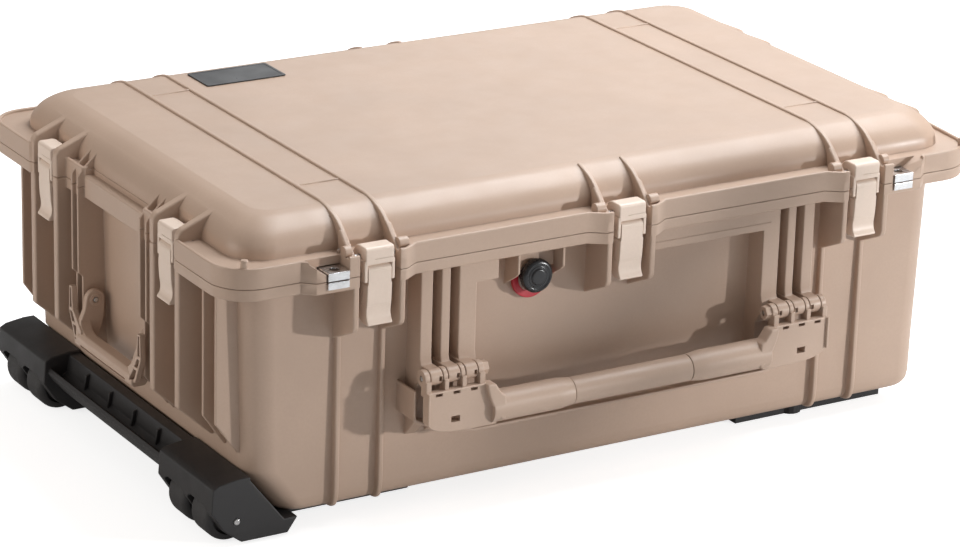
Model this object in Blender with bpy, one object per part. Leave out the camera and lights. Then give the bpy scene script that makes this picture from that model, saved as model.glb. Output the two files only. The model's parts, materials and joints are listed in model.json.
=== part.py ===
"""Rolling hard equipment case, in metres, +Z up, standing on its wheels and feet at z = 0.

Every solid is a loft of stacked outlines, a lathe, or such pieces joined by Boolean modifiers.
The front of the case, with the carrying handle, faces -Y, and the wheels are at the -X end.
"""
import math

import bmesh
import bpy

# The case's own centre lines meet at this point of the world, which puts the bounding box on the origin.
CASE_X, CASE_Y = 0.00155, 0.00769

# Parting line, lid and base.
PART_Z = 0.2475
SPLIT = 0.0002
LID_TOP = 0.2960
FLANGE_TOP = 0.2665
BAND_LOW = 0.2365
UNDERSIDE = 0.0175
WALL = 0.0045
RIM_X, RIM_Y, RIM_R = 0.3965, 0.2515, 0.036
WHEEL_END_X = 0.4040
BUMP_Y, BUMP_X = 0.2610, 0.4020
BAY_X, BAY_HALF = 0.3890, 0.0620
BODY_X, BODY_Y, BODY_R = 0.3710, 0.2255, 0.026
DOME_X, DOME_Y, DOME_R = 0.3800, 0.2300, 0.034
DOME_RINGS = ((0.2580, 0.0), (0.2700, 0.0008), (0.2780, 0.0040), (0.2850, 0.0095),
              (0.2905, 0.0170), (0.2942, 0.0250), (LID_TOP, 0.0345))
SEAL_X, SEAL_Y, SEAL_R = 0.3710, 0.2310, 0.030

# Latches: front ones at these x, end ones at these y, each between two fins.
FRONT_LATCH_X = (-0.2604, 0.0, 0.2604)
END_LATCH_Y = (-0.1252, 0.1252)
FIN_IN, FIN_OUT, END_FIN_OUT = 0.0203, 0.0245, 0.0290
FIN_FOOT = 0.198
END_FIN_FOOT = 0.108
LATCH_PIN = (-0.0130, 0.2610)
LEVER_PIN = (-0.0060, 0.2495)

# Back hinge, carrying handles, wheels and pull handle.
HINGE_Y, HINGE_Z, HINGE_R = 0.2575, 0.2475, 0.0060
HANDLE_Y, HANDLE_Z, HANDLE_R = -0.2600, 0.1410, 0.0078
GRIP_Y, GRIP_Z, GRIP_END_R = -0.2645, 0.1036, 0.0143
PLATE_BACK, PLATE_FACE = -0.2640, -0.2720
SIDE_X, SIDE_Z, SIDE_R = 0.3833, 0.1392, 0.0095
ARM_IN, ARM_OUT = 0.0535, 0.0600
WHEEL_X, WHEEL_Z, WHEEL_R = -0.3810, 0.0235, 0.0235
WHEEL_SPANS = ((0.1350, 0.1690), (0.1800, 0.2140))
TUBE_Y, TUBE_Z, TUBE_R = 0.0850, 0.0100, 0.0046
POSTS = ((0.1995, 0.2115), (0.1815, 0.1905), (0.1545, 0.1725))
KNUCKLES = ((0.1985, 0.2105), (0.1805, 0.1925), (0.1625, 0.1745))
HANDLE_KNUCKLES = ((0.2113, 0.2165), (0.1933, 0.1977), (0.1753, 0.1797), (0.1560, 0.1617))
VALVE_X, VALVE_Z = -0.0870, 0.2100
LOCK_X, LOCK_Y, LOCK_HOLE_R, PLATE_HOLE_R = 0.3020, -0.2535, 0.0045, 0.0044

# Pins, their holes, the wheel wells and the axles.
PIN_R, PIN_HOLE_R = 0.0024, 0.0028
WELL_R, AXLE_R, AXLE_HOLE_R = 0.0262, 0.0030, 0.0034

# The bar across each end bay belongs to the lid and hangs in front of the base's wall.
BAY_BAR_LOW, BAY_BAR_TOP, BAY_BAR_HALF = 0.2380, 0.2588, 0.0600
BAY_WALL_X, BAY_CUT_HALF = 0.3745, 0.0612

# Ribs down the ends: thin pairs beside the handle bay, and single ones near the wheel end's corners.
THIN_Y, THIN_HALF, THIN_X, THIN_FOOT = (-0.0770, -0.0645, 0.0645, 0.0770), 0.0014, 0.3960, 0.1060
THIN_LOW_X = 0.3915
CORNER_Y, CORNER_HALF, CORNER_X = (-0.2010, -0.1770, 0.1770, 0.2010), 0.0018, 0.3900

for old in list(bpy.data.objects):
    bpy.data.objects.remove(old)

parts = bpy.data.collections.new("hard_equipment_case")
cutters = bpy.data.collections.new("cutters")
bpy.context.scene.collection.children.link(parts)
bpy.context.scene.collection.children.link(cutters)
cutters.hide_render = True

origin = bpy.data.objects.new("case_origin", None)
origin.location = (CASE_X, CASE_Y, 0)
parts.objects.link(origin)


def finish(name, colour, rough, metal=0.0):
    """A Principled material."""
    mat = bpy.data.materials.new(name)
    mat.use_nodes = True
    shader = mat.node_tree.nodes["Principled BSDF"]
    shader.inputs["Base Color"].default_value = (*colour, 1)
    shader.inputs["Roughness"].default_value = rough
    shader.inputs["Metallic"].default_value = metal
    return mat


TAN = (0.48, 0.36, 0.27)
BLACK = (0.02, 0.02, 0.022)
STEEL = (0.62, 0.62, 0.62)


def loft(rings):
    """A closed mesh through rings of points, every ring the same length, with flat caps."""
    bm = bmesh.new()
    rows = [[bm.verts.new(p) for p in ring] for ring in rings]
    count = len(rings[0])
    for a, b in zip(rows, rows[1:]):
        for i in range(count):
            j = (i + 1) % count
            bm.faces.new((a[i], a[j], b[j], b[i]))
    bm.faces.new(rows[0])
    bm.faces.new(rows[-1])
    bmesh.ops.recalc_face_normals(bm, faces=bm.faces)
    mesh = bpy.data.meshes.new("solid")
    bm.to_mesh(mesh)
    bm.free()
    return mesh


def place(axis, along, a, b):
    """A point from its position along an axis and the two coordinates across it, in x, y, z order."""
    if axis == "x":
        return (along, a, b)
    if axis == "y":
        return (a, along, b)
    return (a, b, along)


def prism(axis, lo, hi, outline):
    return loft([[place(axis, at, a, b) for a, b in outline] for at in (lo, hi)])


def box(x0, x1, y0, y1, z0, z1):
    return prism("z", z0, z1, ((x0, y0), (x1, y0), (x1, y1), (x0, y1)))


def circle(a, b, radius, count):
    step = 2 * math.pi / count
    return [(a + radius * math.cos((i + 0.5) * step), b + radius * math.sin((i + 0.5) * step))
            for i in range(count)]


def rod(axis, lo, hi, a, b, radius, count=16):
    return prism(axis, lo, hi, circle(a, b, radius, count))


def turned(axis, a, b, stations, count=24):
    """A stepped shaft: stations are (position along the axis, radius)."""
    return loft([[place(axis, at, p, q) for p, q in circle(a, b, r, count)] for at, r in stations])


def ring_solid(axis, a, b, profile, count=24):
    """A closed profile of (radius, position) points carried round an axis."""
    bm = bmesh.new()
    rows = []
    for i in range(count):
        t = 2 * math.pi * i / count
        rows.append([bm.verts.new(place(axis, at, a + r * math.cos(t), b + r * math.sin(t)))
                     for r, at in profile])
    n = len(profile)
    for i in range(count):
        here, there = rows[i], rows[(i + 1) % count]
        for k in range(n):
            m = (k + 1) % n
            bm.faces.new((here[k], here[m], there[m], there[k]))
    bmesh.ops.recalc_face_normals(bm, faces=bm.faces)
    mesh = bpy.data.meshes.new("ring")
    bm.to_mesh(mesh)
    bm.free()
    return mesh


def arc(cx, cy, r, start, end, count):
    """Points on an arc, in degrees, both ends included."""
    out = []
    for i in range(count + 1):
        t = math.radians(start + (end - start) * i / count)
        out.append((cx + r * math.cos(t), cy + r * math.sin(t)))
    return out


def rounded(left, right, half_y, r, count=5):
    """A rectangle with round corners, from x = -left to x = right."""
    return (arc(right - r, half_y - r, r, 0, 90, count)
            + arc(-left + r, half_y - r, r, 90, 180, count)
            + arc(-left + r, -half_y + r, r, 180, 270, count)
            + arc(right - r, -half_y + r, r, 270, 360, count))


def seal_track(section, count=6):
    """A closed section of (outward, up) points carried round the seal's line."""
    bm = bmesh.new()
    rows = []
    inner = rounded(SEAL_X - 0.010, SEAL_X - 0.010, SEAL_Y - 0.010, SEAL_R - 0.010, count)
    outer = rounded(SEAL_X + 0.010, SEAL_X + 0.010, SEAL_Y + 0.010, SEAL_R + 0.010, count)
    for a, b in zip(inner, outer):
        share = [(0.5 + out / 0.020, up) for out, up in section]
        rows.append([bm.verts.new((a[0] + (b[0] - a[0]) * s, a[1] + (b[1] - a[1]) * s, up))
                     for s, up in share])
    total, n = len(rows), len(section)
    for i in range(total):
        here, there = rows[i], rows[(i + 1) % total]
        for k in range(n):
            m = (k + 1) % n
            bm.faces.new((here[k], here[m], there[m], there[k]))
    bmesh.ops.recalc_face_normals(bm, faces=bm.faces)
    mesh = bpy.data.meshes.new("track")
    bm.to_mesh(mesh)
    bm.free()
    return mesh


def rim_outline():
    """The flange both halves share: bumped out round each front latch and along the wheel end."""
    pts = arc(RIM_X - RIM_R, RIM_Y - RIM_R, RIM_R, 0, 90, 5)
    pts += arc(-WHEEL_END_X + RIM_R, RIM_Y - RIM_R, RIM_R, 90, 180, 5)
    for side in (1, -1):
        step = [(-WHEEL_END_X, 0.1520), (-BUMP_X, 0.1497), (-BUMP_X, 0.1000), (-0.3920, 0.0950),
                (-0.3920, BAY_HALF + 0.002), (-BAY_X, BAY_HALF)]
        pts += [(x, y * side) for x, y in (step if side > 0 else step[::-1])]
    pts += arc(-WHEEL_END_X + RIM_R, -RIM_Y + RIM_R, RIM_R, 180, 270, 5)
    pts += [(-0.3335, -RIM_Y), (-0.3230, -BUMP_Y), (-0.2330, -BUMP_Y), (-0.2190, -RIM_Y)]
    pts += [(-0.0420, -RIM_Y), (-0.0275, -BUMP_Y), (0.0275, -BUMP_Y), (0.0420, -RIM_Y)]
    pts += [(0.2190, -RIM_Y), (0.2330, -BUMP_Y), (0.3230, -BUMP_Y), (0.3335, -RIM_Y)]
    pts += arc(RIM_X - RIM_R, -RIM_Y + RIM_R, RIM_R, 270, 360, 5)
    for side in (-1, 1):
        step = [(BUMP_X, 0.1520), (BUMP_X, 0.1000), (0.3920, 0.0950),
                (0.3920, BAY_HALF + 0.002), (BAY_X, BAY_HALF)]
        pts += [(x, y * side) for x, y in (step if side < 0 else step[::-1])]
    return pts


def add(name, mesh, mat, parent=None, smooth=True):
    """A named part on the case's origin, or on a joint empty."""
    obj = bpy.data.objects.new(name, mesh)
    obj.data.materials.append(mat)
    parts.objects.link(obj)
    obj.parent = parent or origin
    if parent:
        obj.data.transform(parent.matrix_basis.inverted())
    if smooth:
        for face in obj.data.polygons:
            face.use_smooth = True
        obj.data.set_sharp_from_angle(angle=math.radians(35))
    return obj


def joint(name, x, y, z):
    """An empty on a joint axis, for the pieces that move about it."""
    empty = bpy.data.objects.new(name, None)
    empty.location = (x, y, z)
    empty.empty_display_size = 0.01
    parts.objects.link(empty)
    empty.parent = origin
    return empty


def combine(obj, operation, meshes):
    """One Boolean modifier whose operands are hidden wire objects in a collection of their own."""
    group = bpy.data.collections.new(obj.name + "_" + operation.lower())
    cutters.children.link(group)
    for i, mesh in enumerate(meshes):
        tool = bpy.data.objects.new(f"{group.name}_{i}", mesh)
        group.objects.link(tool)
        tool.parent = obj.parent
        if obj.parent is not origin:
            tool.data.transform(obj.parent.matrix_basis.inverted())
        tool.hide_render = True
        tool.display_type = "WIRE"
    modifier = obj.modifiers.new(operation.title(), "BOOLEAN")
    modifier.operation = operation
    modifier.solver = "EXACT"
    modifier.operand_type = "COLLECTION"
    modifier.collection = group
    if operation == "UNION":
        modifier.use_self = True


def both(outline):
    """An outline and its copy mirrored in x."""
    return (outline, [(-a, b) for a, b in outline])


def span(side, inner, outer):
    """Two distances from the centre line, on one side of it, in rising order."""
    return sorted((side * inner, side * outer))


def fin_spans(centre, out=FIN_OUT):
    """Where the two guard fins beside a latch stand."""
    return ((centre - out, centre - FIN_IN), (centre + FIN_IN, centre + out))


def lock_hole(side, radius, low, high):
    return rod("z", low, high, side * LOCK_X, LOCK_Y, radius, 16)


# ---- Base shell ----
tan_base = finish("base_tan", TAN, 0.45)
BASE_RINGS = ((UNDERSIDE, 0.330, 0.3560, 0.2120, 0.020), (0.0200, 0.334, 0.3620, 0.2180, 0.024),
              (0.0290, 0.342, 0.3665, 0.2222, 0.026), (0.0625, 0.3665, 0.3668, 0.2228, BODY_R),
              (0.2440, BODY_X, BODY_X, BODY_Y, BODY_R))
base = add("base_shell", loft([[(x, y, z) for x, y in rounded(left, right, w, r)]
                               for z, left, right, w, r in BASE_RINGS]), tan_base)

extra = [prism("z", BAND_LOW, PART_Z - SPLIT, rim_outline())]
for centre in FRONT_LATCH_X:
    for lo, hi in fin_spans(centre):
        fin = ((-0.2200, 0.2470), (-BUMP_Y, 0.2470), (-BUMP_Y, FIN_FOOT), (-0.2240, 0.1790),
               (-0.2200, 0.1790))
        extra.append(prism("x", lo, hi, fin))
        if centre:
            extra.append(box(lo, hi, -0.2292, -0.2180, 0.0215, 0.1900))
            extra.append(box(lo, hi, 0.2180, 0.2292, 0.0215, 0.2400))


def end_rib(outer, foot):
    """The x-z outline of a rib down the wheel end; the far end uses its mirror image."""
    return [(-0.3600, 0.2470), (-outer, 0.2470), (-outer, foot), (-0.3690, foot - 0.030),
            (-0.3600, foot - 0.030)]


for shape in both(end_rib(BUMP_X, END_FIN_FOOT)):
    for centre in END_LATCH_Y:
        extra += [prism("y", lo, hi, shape) for lo, hi in fin_spans(centre, END_FIN_OUT)]
thin_rib = end_rib(THIN_LOW_X, THIN_FOOT)
thin_rib[1:2] = [(-THIN_X, 0.2470), (-THIN_X, 0.1640), (-THIN_LOW_X, 0.1600)]
for shape in both(thin_rib):
    extra += [prism("y", y - THIN_HALF, y + THIN_HALF, shape) for y in THIN_Y]
for y in CORNER_Y:
    extra.append(prism("y", y - CORNER_HALF, y + CORNER_HALF, end_rib(CORNER_X, END_FIN_FOOT)))

for side in (-1, 1):
    for inner, outer in POSTS:
        lo, hi = span(side, inner, outer)
        post = ((-0.2200, 0.2400), (-0.2485, 0.2400), (-0.2485, 0.1540), (-0.2500, 0.1480),
                (-0.2500, 0.1370), (-0.2410, 0.1250), (-0.2400, 0.0900), (-0.2240, 0.0740),
                (-0.2200, 0.0740))
        extra.append(prism("x", lo, hi, post))
    for inner, outer in KNUCKLES:
        lo, hi = span(side, inner, outer)
        extra.append(prism("x", lo, hi, circle(HANDLE_Y, HANDLE_Z, HANDLE_R, 16)))
        extra.append(box(lo, hi, HANDLE_Y, -0.2200, 0.1370, 0.1485))
half_shelf = [(0.1560, 0.0785), (0.1848, 0.0838), (0.2050, 0.0908), (0.2205, 0.0995), (0.2205, 0.1280),
              (0.2180, 0.1280), (0.2180, 0.1010), (0.2040, 0.0935), (0.1840, 0.0866), (0.1560, 0.0815)]
extra.append(prism("y", -0.2560, -0.2200, half_shelf + [(-x, z) for x, z in half_shelf[::-1]]))
extra.append(box(0.0310, 0.1600, -0.2485, -0.2200, 0.2175, 0.2400))
extra.append(box(-0.1600, -0.1320, -0.2485, -0.2200, 0.2175, 0.2400))
for x in (-0.1110, -0.0640):
    web = ((-0.2200, 0.2400), (-0.2485, 0.2400), (-0.2485, 0.2180), (-0.2440, 0.2140), (-0.2200, 0.1980))
    extra.append(prism("x", x - 0.0012, x + 0.0012, web))
for centre in FRONT_LATCH_X:
    for lo, hi in ((-0.0180, -0.0065), (0.0065, 0.0180)):
        extra.append(rod("x", centre + lo, centre + hi, HINGE_Y, HINGE_Z, HINGE_R, 16))
        extra.append(box(centre + lo, centre + hi, 0.2440, HINGE_Y, BAND_LOW + 0.0005, HINGE_Z - 0.0010))
combine(base, "UNION", extra)

cuts = [loft([[(x, y, z) for x, y in rounded(left, right, w, r)] for z, left, right, w, r in (
    (UNDERSIDE + WALL, 0.3240, 0.3540, 0.2120, 0.018), (0.0300, 0.3350, 0.3610, 0.2180, 0.021),
    (0.0640, 0.3615, 0.3620, 0.2185, 0.021), (0.2600, 0.3660, 0.3660, 0.2210, 0.021))])]
for centre in FRONT_LATCH_X:
    cuts.append(box(centre - FIN_IN, centre + FIN_IN, -0.2800, -0.2365, 0.2330, 0.2600))
    cuts.append(rod("x", centre - 0.0057, centre + 0.0057, HINGE_Y, HINGE_Z, 0.0070, 14))
    cuts.append(rod("x", centre - 0.0300, centre + 0.0300, HINGE_Y, HINGE_Z, 0.0024, 12))
for side in (-1, 1):
    for centre in END_LATCH_Y:
        x0, x1 = span(side, 0.3768, 0.4200)
        cuts.append(box(x0, x1, centre - FIN_IN, centre + FIN_IN, 0.2330, 0.2600))
    x0, x1 = span(side, BAY_WALL_X, 0.4200)
    cuts.append(box(x0, x1, -BAY_CUT_HALF, BAY_CUT_HALF, 0.2300, 0.2600))
    cuts.append(lock_hole(side, LOCK_HOLE_R, 0.2300, 0.2600))
    lo, hi = span(side, 0.1500, 0.2300)
    cuts.append(rod("x", lo, hi, HANDLE_Y, HANDLE_Z, PIN_HOLE_R, 12))
    for y in (-0.0715, 0.0715):
        cuts.append(rod("y", y - 0.0120, y + 0.0120, side * SIDE_X, SIDE_Z, PIN_HOLE_R, 12))
cuts.append(rod("y", -0.2600, -0.2000, VALVE_X, VALVE_Z, 0.0086, 20))
cuts.append(rod("y", -0.2700, -0.2262, VALVE_X, VALVE_Z, 0.0185, 24))
combine(base, "DIFFERENCE", cuts)

# ---- Lid shell, about the back hinge ----
lid_joint = joint("lid_hinge", 0, HINGE_Y, HINGE_Z)
tan_lid = finish("lid_tan", TAN, 0.42)
lid = add("lid_shell", loft([[(x, y, z) for x, y in
                              rounded(DOME_X - inset, DOME_X - inset, DOME_Y - inset,
                                      max(DOME_R - 0.35 * inset, 0.020))]
                             for z, inset in DOME_RINGS]), tan_lid, lid_joint)
STRAP_FRONT = [(-BUMP_Y, PART_Z + SPLIT), (-BUMP_Y, 0.2550), (-0.2545, 0.2650), (-0.2340, 0.2815),
               (-0.2225, 0.2890), (-0.2060, 0.2950), (-0.1900, 0.2980)]
STRAP_BACK = [(0.1900, 0.2980), (0.2060, 0.2950), (0.2225, 0.2890), (0.2340, 0.2790),
              (0.2500, 0.2620), (0.2500, PART_Z + SPLIT)]
END_FIN = [(-0.3700, PART_Z + SPLIT), (-BUMP_X, PART_Z + SPLIT), (-BUMP_X, 0.2700),
           (-0.3985, 0.2748), (-0.3640, 0.2893), (-0.3500, 0.2893)]
END_THIN = [(-0.3700, PART_Z + SPLIT), (-THIN_X, PART_Z + SPLIT), (-THIN_X, 0.2575),
            (-0.3900, 0.2650), (-0.3660, 0.2880), (-0.3500, 0.2880)]
extra = [prism("z", PART_Z + SPLIT, FLANGE_TOP, rim_outline())]
for centre in FRONT_LATCH_X:
    for lo, hi in fin_spans(centre):
        if centre:
            extra.append(prism("x", lo, hi, STRAP_FRONT + STRAP_BACK))
        else:
            extra.append(prism("x", lo, hi, STRAP_FRONT[:-1] + [(-0.2060, PART_Z + SPLIT)]))
            extra.append(prism("x", lo, hi, [(0.2060, PART_Z + SPLIT)] + STRAP_BACK[1:]))
    extra.append(rod("x", centre - 0.0057, centre + 0.0057, HINGE_Y, HINGE_Z, HINGE_R, 16))
    extra.append(box(centre - 0.0057, centre + 0.0057, 0.2440, HINGE_Y, HINGE_Z + 0.0010, 0.2600))
for shape in both(END_FIN):
    for centre in END_LATCH_Y:
        extra += [prism("y", lo, hi, shape) for lo, hi in fin_spans(centre, END_FIN_OUT)]
for shape in both(END_THIN):
    extra += [prism("y", y - THIN_HALF, y + THIN_HALF, shape) for y in THIN_Y]
for side in (-1, 1):
    x0, x1 = span(side, 0.3770, 0.3905)
    extra.append(box(x0, x1, -BAY_BAR_HALF, BAY_BAR_HALF, BAY_BAR_LOW, BAY_BAR_TOP))
combine(lid, "UNION", extra)

cuts = [loft([[(x, y, z) for x, y in rounded(half, half, w, r)] for z, half, w, r in (
    (0.2400, 0.3660, 0.2210, 0.021), (0.2740, 0.3660, 0.2210, 0.021), (0.2810, 0.3630, 0.2175, 0.020),
    (0.2870, 0.3560, 0.2100, 0.020), (0.2915, 0.3440, 0.1980, 0.020))])]
for centre in FRONT_LATCH_X:
    cuts.append(box(centre - FIN_IN, centre + FIN_IN, -0.2800, -0.2365, 0.2400, 0.2900))
    cuts.append(rod("x", centre - 0.0300, centre + 0.0300, -BUMP_Y - LATCH_PIN[0], LATCH_PIN[1],
                    PIN_HOLE_R, 12))
    for lo, hi in ((-0.0188, -0.0057), (0.0057, 0.0188)):
        cuts.append(rod("x", centre + lo, centre + hi, HINGE_Y, HINGE_Z, 0.0070, 14))
    cuts.append(rod("x", centre - 0.0300, centre + 0.0300, HINGE_Y, HINGE_Z, 0.0026, 12))
for side in (-1, 1):
    for centre in END_LATCH_Y:
        x0, x1 = span(side, 0.3768, 0.4200)
        cuts.append(box(x0, x1, centre - FIN_IN, centre + FIN_IN, 0.2400, 0.2900))
        cuts.append(rod("y", centre - 0.0300, centre + 0.0300, side * (0.4015 + LATCH_PIN[0]),
                        LATCH_PIN[1], PIN_HOLE_R, 12))
    x0, x1 = span(side, DOME_X + 0.0005, 0.4200)
    cuts.append(box(x0, x1, -BAY_CUT_HALF, BAY_CUT_HALF, BAY_BAR_TOP, 0.2750))
    cuts.append(lock_hole(side, LOCK_HOLE_R, 0.2400, 0.2700))
    x0, x1 = span(side, (LOCK_X - 0.0115), (LOCK_X + 0.0115))
    cuts.append(box(x0, x1, -0.2800, -0.2430, 0.2515, 0.2800))
combine(lid, "DIFFERENCE", cuts)

seal_low = PART_Z + SPLIT
combine(lid, "DIFFERENCE", [seal_track(((-0.0030, 0.2440), (0.0030, 0.2440), (0.0030, seal_low + 0.0052),
                                         (-0.0030, seal_low + 0.0052)))])
add("lid_o_ring", seal_track([(r, z) for r, z in circle(0.0, seal_low + 0.0026, 0.0022, 8)]),
    finish("seal_rubber", (0.03, 0.03, 0.03), 0.7), lid_joint)
add("name_plate", box(-0.2190, -0.1340, 0.1490, 0.1935, LID_TOP + 0.0003, LID_TOP + 0.0013),
    finish("name_plate_black", BLACK, 0.35), lid_joint)

# ---- Latches ----
tan_latch = finish("latch_tan", (0.52, 0.41, 0.31), 0.4)


def latch_point(spot, u, out, z):
    """A point of a latch from its width, outward and up coordinates; spot is (x, y, direction)."""
    x, y, facing = spot
    if facing == "front":
        return (x + u, y - out, z)
    side = 1 if facing == "right" else -1
    return (x + side * out, y + side * u, z)


def latch_solid(spot, lo, hi, outline):
    """An outline of (outward, up) points carried across the latch's width."""
    return loft([[latch_point(spot, u, out, z) for out, z in outline] for u in (lo, hi)])


LATCH_TOP = ([(-0.0004, 0.2558), (-0.0004, 0.2685), (-0.0036, 0.2716), (-0.0110, 0.2716)]
             + arc(LATCH_PIN[0], LATCH_PIN[1], 0.0108, 96, 200, 4) + [(-0.0222, 0.2558)])
EAR = ((-0.0008, 0.2402), (-0.0008, 0.2596), (-0.0190, 0.2596), (-0.0200, 0.2470), (-0.0150, 0.2402))
LEVER_HEAD = (arc(LEVER_PIN[0], LEVER_PIN[1], 0.0057, 0, 180, 6)
              + [(-0.0118, 0.2370), (-0.0003, 0.2370)])
LEVER_BODY = ((-0.0003, 0.2378), (-0.0003, 0.2080), (0.0014, 0.2022), (0.0010, 0.2004), (-0.0090, 0.2004),
              (-0.0205, 0.2060), (-0.0212, 0.2270), (-0.0222, 0.2290), (-0.0222, 0.2320), (-0.0195, 0.2378))
LATCHES = [(f"front_{tag}", (x, -BUMP_Y, "front"))
           for tag, x in zip(("left", "mid", "right"), FRONT_LATCH_X)]
LATCHES += [(f"left_{tag}", (-0.4015, y, "left")) for tag, y in zip(("front", "rear"), END_LATCH_Y)]
LATCHES += [(f"right_{tag}", (0.4015, y, "right")) for tag, y in zip(("front", "rear"), END_LATCH_Y)]
pin_steel = finish("pin_steel", STEEL, 0.3, 1.0)


def latch_rod(spot, lo, hi, centre, radius, count=10):
    return latch_solid(spot, lo, hi, circle(centre[0], centre[1], radius, count))


for tag, spot in LATCHES:
    swing = joint("latch_swing_" + tag, *latch_point(spot, 0, *LATCH_PIN))
    throw = joint("latch_throw_" + tag, *latch_point(spot, 0, *LEVER_PIN))
    body = add("latch_body_" + tag, latch_solid(spot, -0.0140, 0.0140, LATCH_TOP), tan_latch, swing)
    combine(body, "UNION", [latch_solid(spot, -0.0150, -0.0119, EAR),
                            latch_solid(spot, 0.0119, 0.0150, EAR)])
    combine(body, "DIFFERENCE", [latch_rod(spot, -0.0200, 0.0200, LATCH_PIN, PIN_HOLE_R),
                                 latch_rod(spot, -0.0200, 0.0200, LEVER_PIN, 0.0026)])
    lever = add("latch_lever_" + tag, latch_solid(spot, -0.0114, 0.0114, LEVER_HEAD), tan_latch, throw)
    combine(lever, "UNION", [latch_solid(spot, -0.0122, 0.0122, LEVER_BODY),
                             latch_rod(spot, -0.0146, 0.0146, LEVER_PIN, 0.0021)])
    add("latch_pin_" + tag, latch_rod(spot, -0.0275, 0.0275, LATCH_PIN, PIN_R), pin_steel, lid_joint)

# ---- Hinge pins ----
for tag, x in zip(("left", "mid", "right"), FRONT_LATCH_X):
    add("hinge_pin_" + tag, rod("x", x - 0.0190, x + 0.0190, HINGE_Y, HINGE_Z, 0.0020, 12), pin_steel)

# ---- Padlock plates ----
plate_steel = finish("plate_steel", (0.75, 0.75, 0.76), 0.22, 1.0)
for tag, side in (("left", -1), ("right", 1)):
    x0, x1 = side * LOCK_X - 0.0105, side * LOCK_X + 0.0105
    upper = add("padlock_plate_upper_" + tag, box(x0, x1, -0.2628, -0.2440, 0.2518, 0.2532), plate_steel,
                lid_joint)
    combine(upper, "UNION", [box(x0, x1, -0.2628, -0.2614, 0.2482, 0.2532)])
    combine(upper, "DIFFERENCE", [lock_hole(side, PLATE_HOLE_R, 0.2300, 0.2700)])
    lower = add("padlock_plate_lower_" + tag, box(x0, x1, -0.2628, -0.2440, 0.2348, 0.2362), plate_steel)
    combine(lower, "UNION", [box(x0, x1, -0.2628, -0.2614, 0.2348, 0.2468)])
    combine(lower, "DIFFERENCE", [lock_hole(side, PLATE_HOLE_R, 0.2300, 0.2700)])

# ---- Pressure valve in the front wall ----
valve = add("valve_body", turned("y", VALVE_X, VALVE_Z, (
    (-0.2100, 0.0080), (-0.2288, 0.0080), (-0.2288, 0.0158), (-0.2410, 0.0158), (-0.2435, 0.0135),
    (-0.2435, 0.0085), (-0.2450, 0.0080))), finish("valve_black", BLACK, 0.3))
add("valve_seal", ring_solid("y", VALVE_X, VALVE_Z, ((0.0085, -0.2265), (0.0172, -0.2265),
                                                     (0.0172, -0.2283), (0.0085, -0.2283))),
    finish("seal_red", (0.55, 0.02, 0.03), 0.5))
nut = add("valve_nut", rod("y", -0.2170, -0.2120, VALVE_X, VALVE_Z, 0.0140, 6),
          finish("nut_black", BLACK, 0.4), smooth=False)
combine(nut, "DIFFERENCE", [rod("y", -0.2200, -0.2100, VALVE_X, VALVE_Z, 0.0086, 24)])

# ---- Front carrying handle ----
handle_joint = joint("front_handle_hinge", 0, HANDLE_Y, HANDLE_Z)
tan_handle = finish("handle_tan", (0.50, 0.38, 0.29), 0.42)
BAR_HALF = ((0.0640, 0.0110), (0.0640, 0.0126), (0.0790, GRIP_END_R), (0.1560, GRIP_END_R))
bar = turned("x", GRIP_Y, GRIP_Z, [(-x, r) for x, r in BAR_HALF[::-1]] + list(BAR_HALF))
handle = add("front_handle", bar, tan_handle, handle_joint)
PLATE = ((0.2165, 0.1300), (0.2165, 0.1010), (0.2100, 0.0950), (0.1950, 0.0905), (0.1700, 0.0893),
         (0.1440, 0.0893), (0.1440, 0.1180), (0.1530, 0.1300))
extra = []
for side in (-1, 1):
    extra.append(prism("y", PLATE_FACE, PLATE_BACK, [(side * x, z) for x, z in PLATE]))
    for inner, outer in HANDLE_KNUCKLES:
        lo, hi = span(side, inner, outer)
        extra.append(rod("x", lo, hi, HANDLE_Y, HANDLE_Z, HANDLE_R, 16))
        extra.append(box(lo, hi, -0.2700, HANDLE_Y, 0.1250, HANDLE_Z - 0.0010))
combine(handle, "UNION", extra)
cuts = []
for side in (-1, 1):
    lo, hi = span(side, 0.1540, 0.2180)
    cuts.append(rod("x", lo, hi, HANDLE_Y, HANDLE_Z, PIN_HOLE_R, 12))
    cuts.append(box(side * 0.1871 - 0.0045, side * 0.1871 + 0.0045, -0.2800, -0.2600, 0.0985, 0.1050))
combine(handle, "DIFFERENCE", cuts)
add("front_handle_grip", ring_solid("x", GRIP_Y, GRIP_Z, (
    (0.0114, -0.0634), (0.0124, -0.0634), (0.0124, 0.0634), (0.0114, 0.0634))), tan_handle, handle_joint)
for tag, side in (("left", -1), ("right", 1)):
    lo, hi = span(side, 0.1510, 0.2170)
    add("front_handle_pin_" + tag, rod("x", lo, hi, HANDLE_Y, HANDLE_Z, PIN_R, 12), pin_steel)

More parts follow.
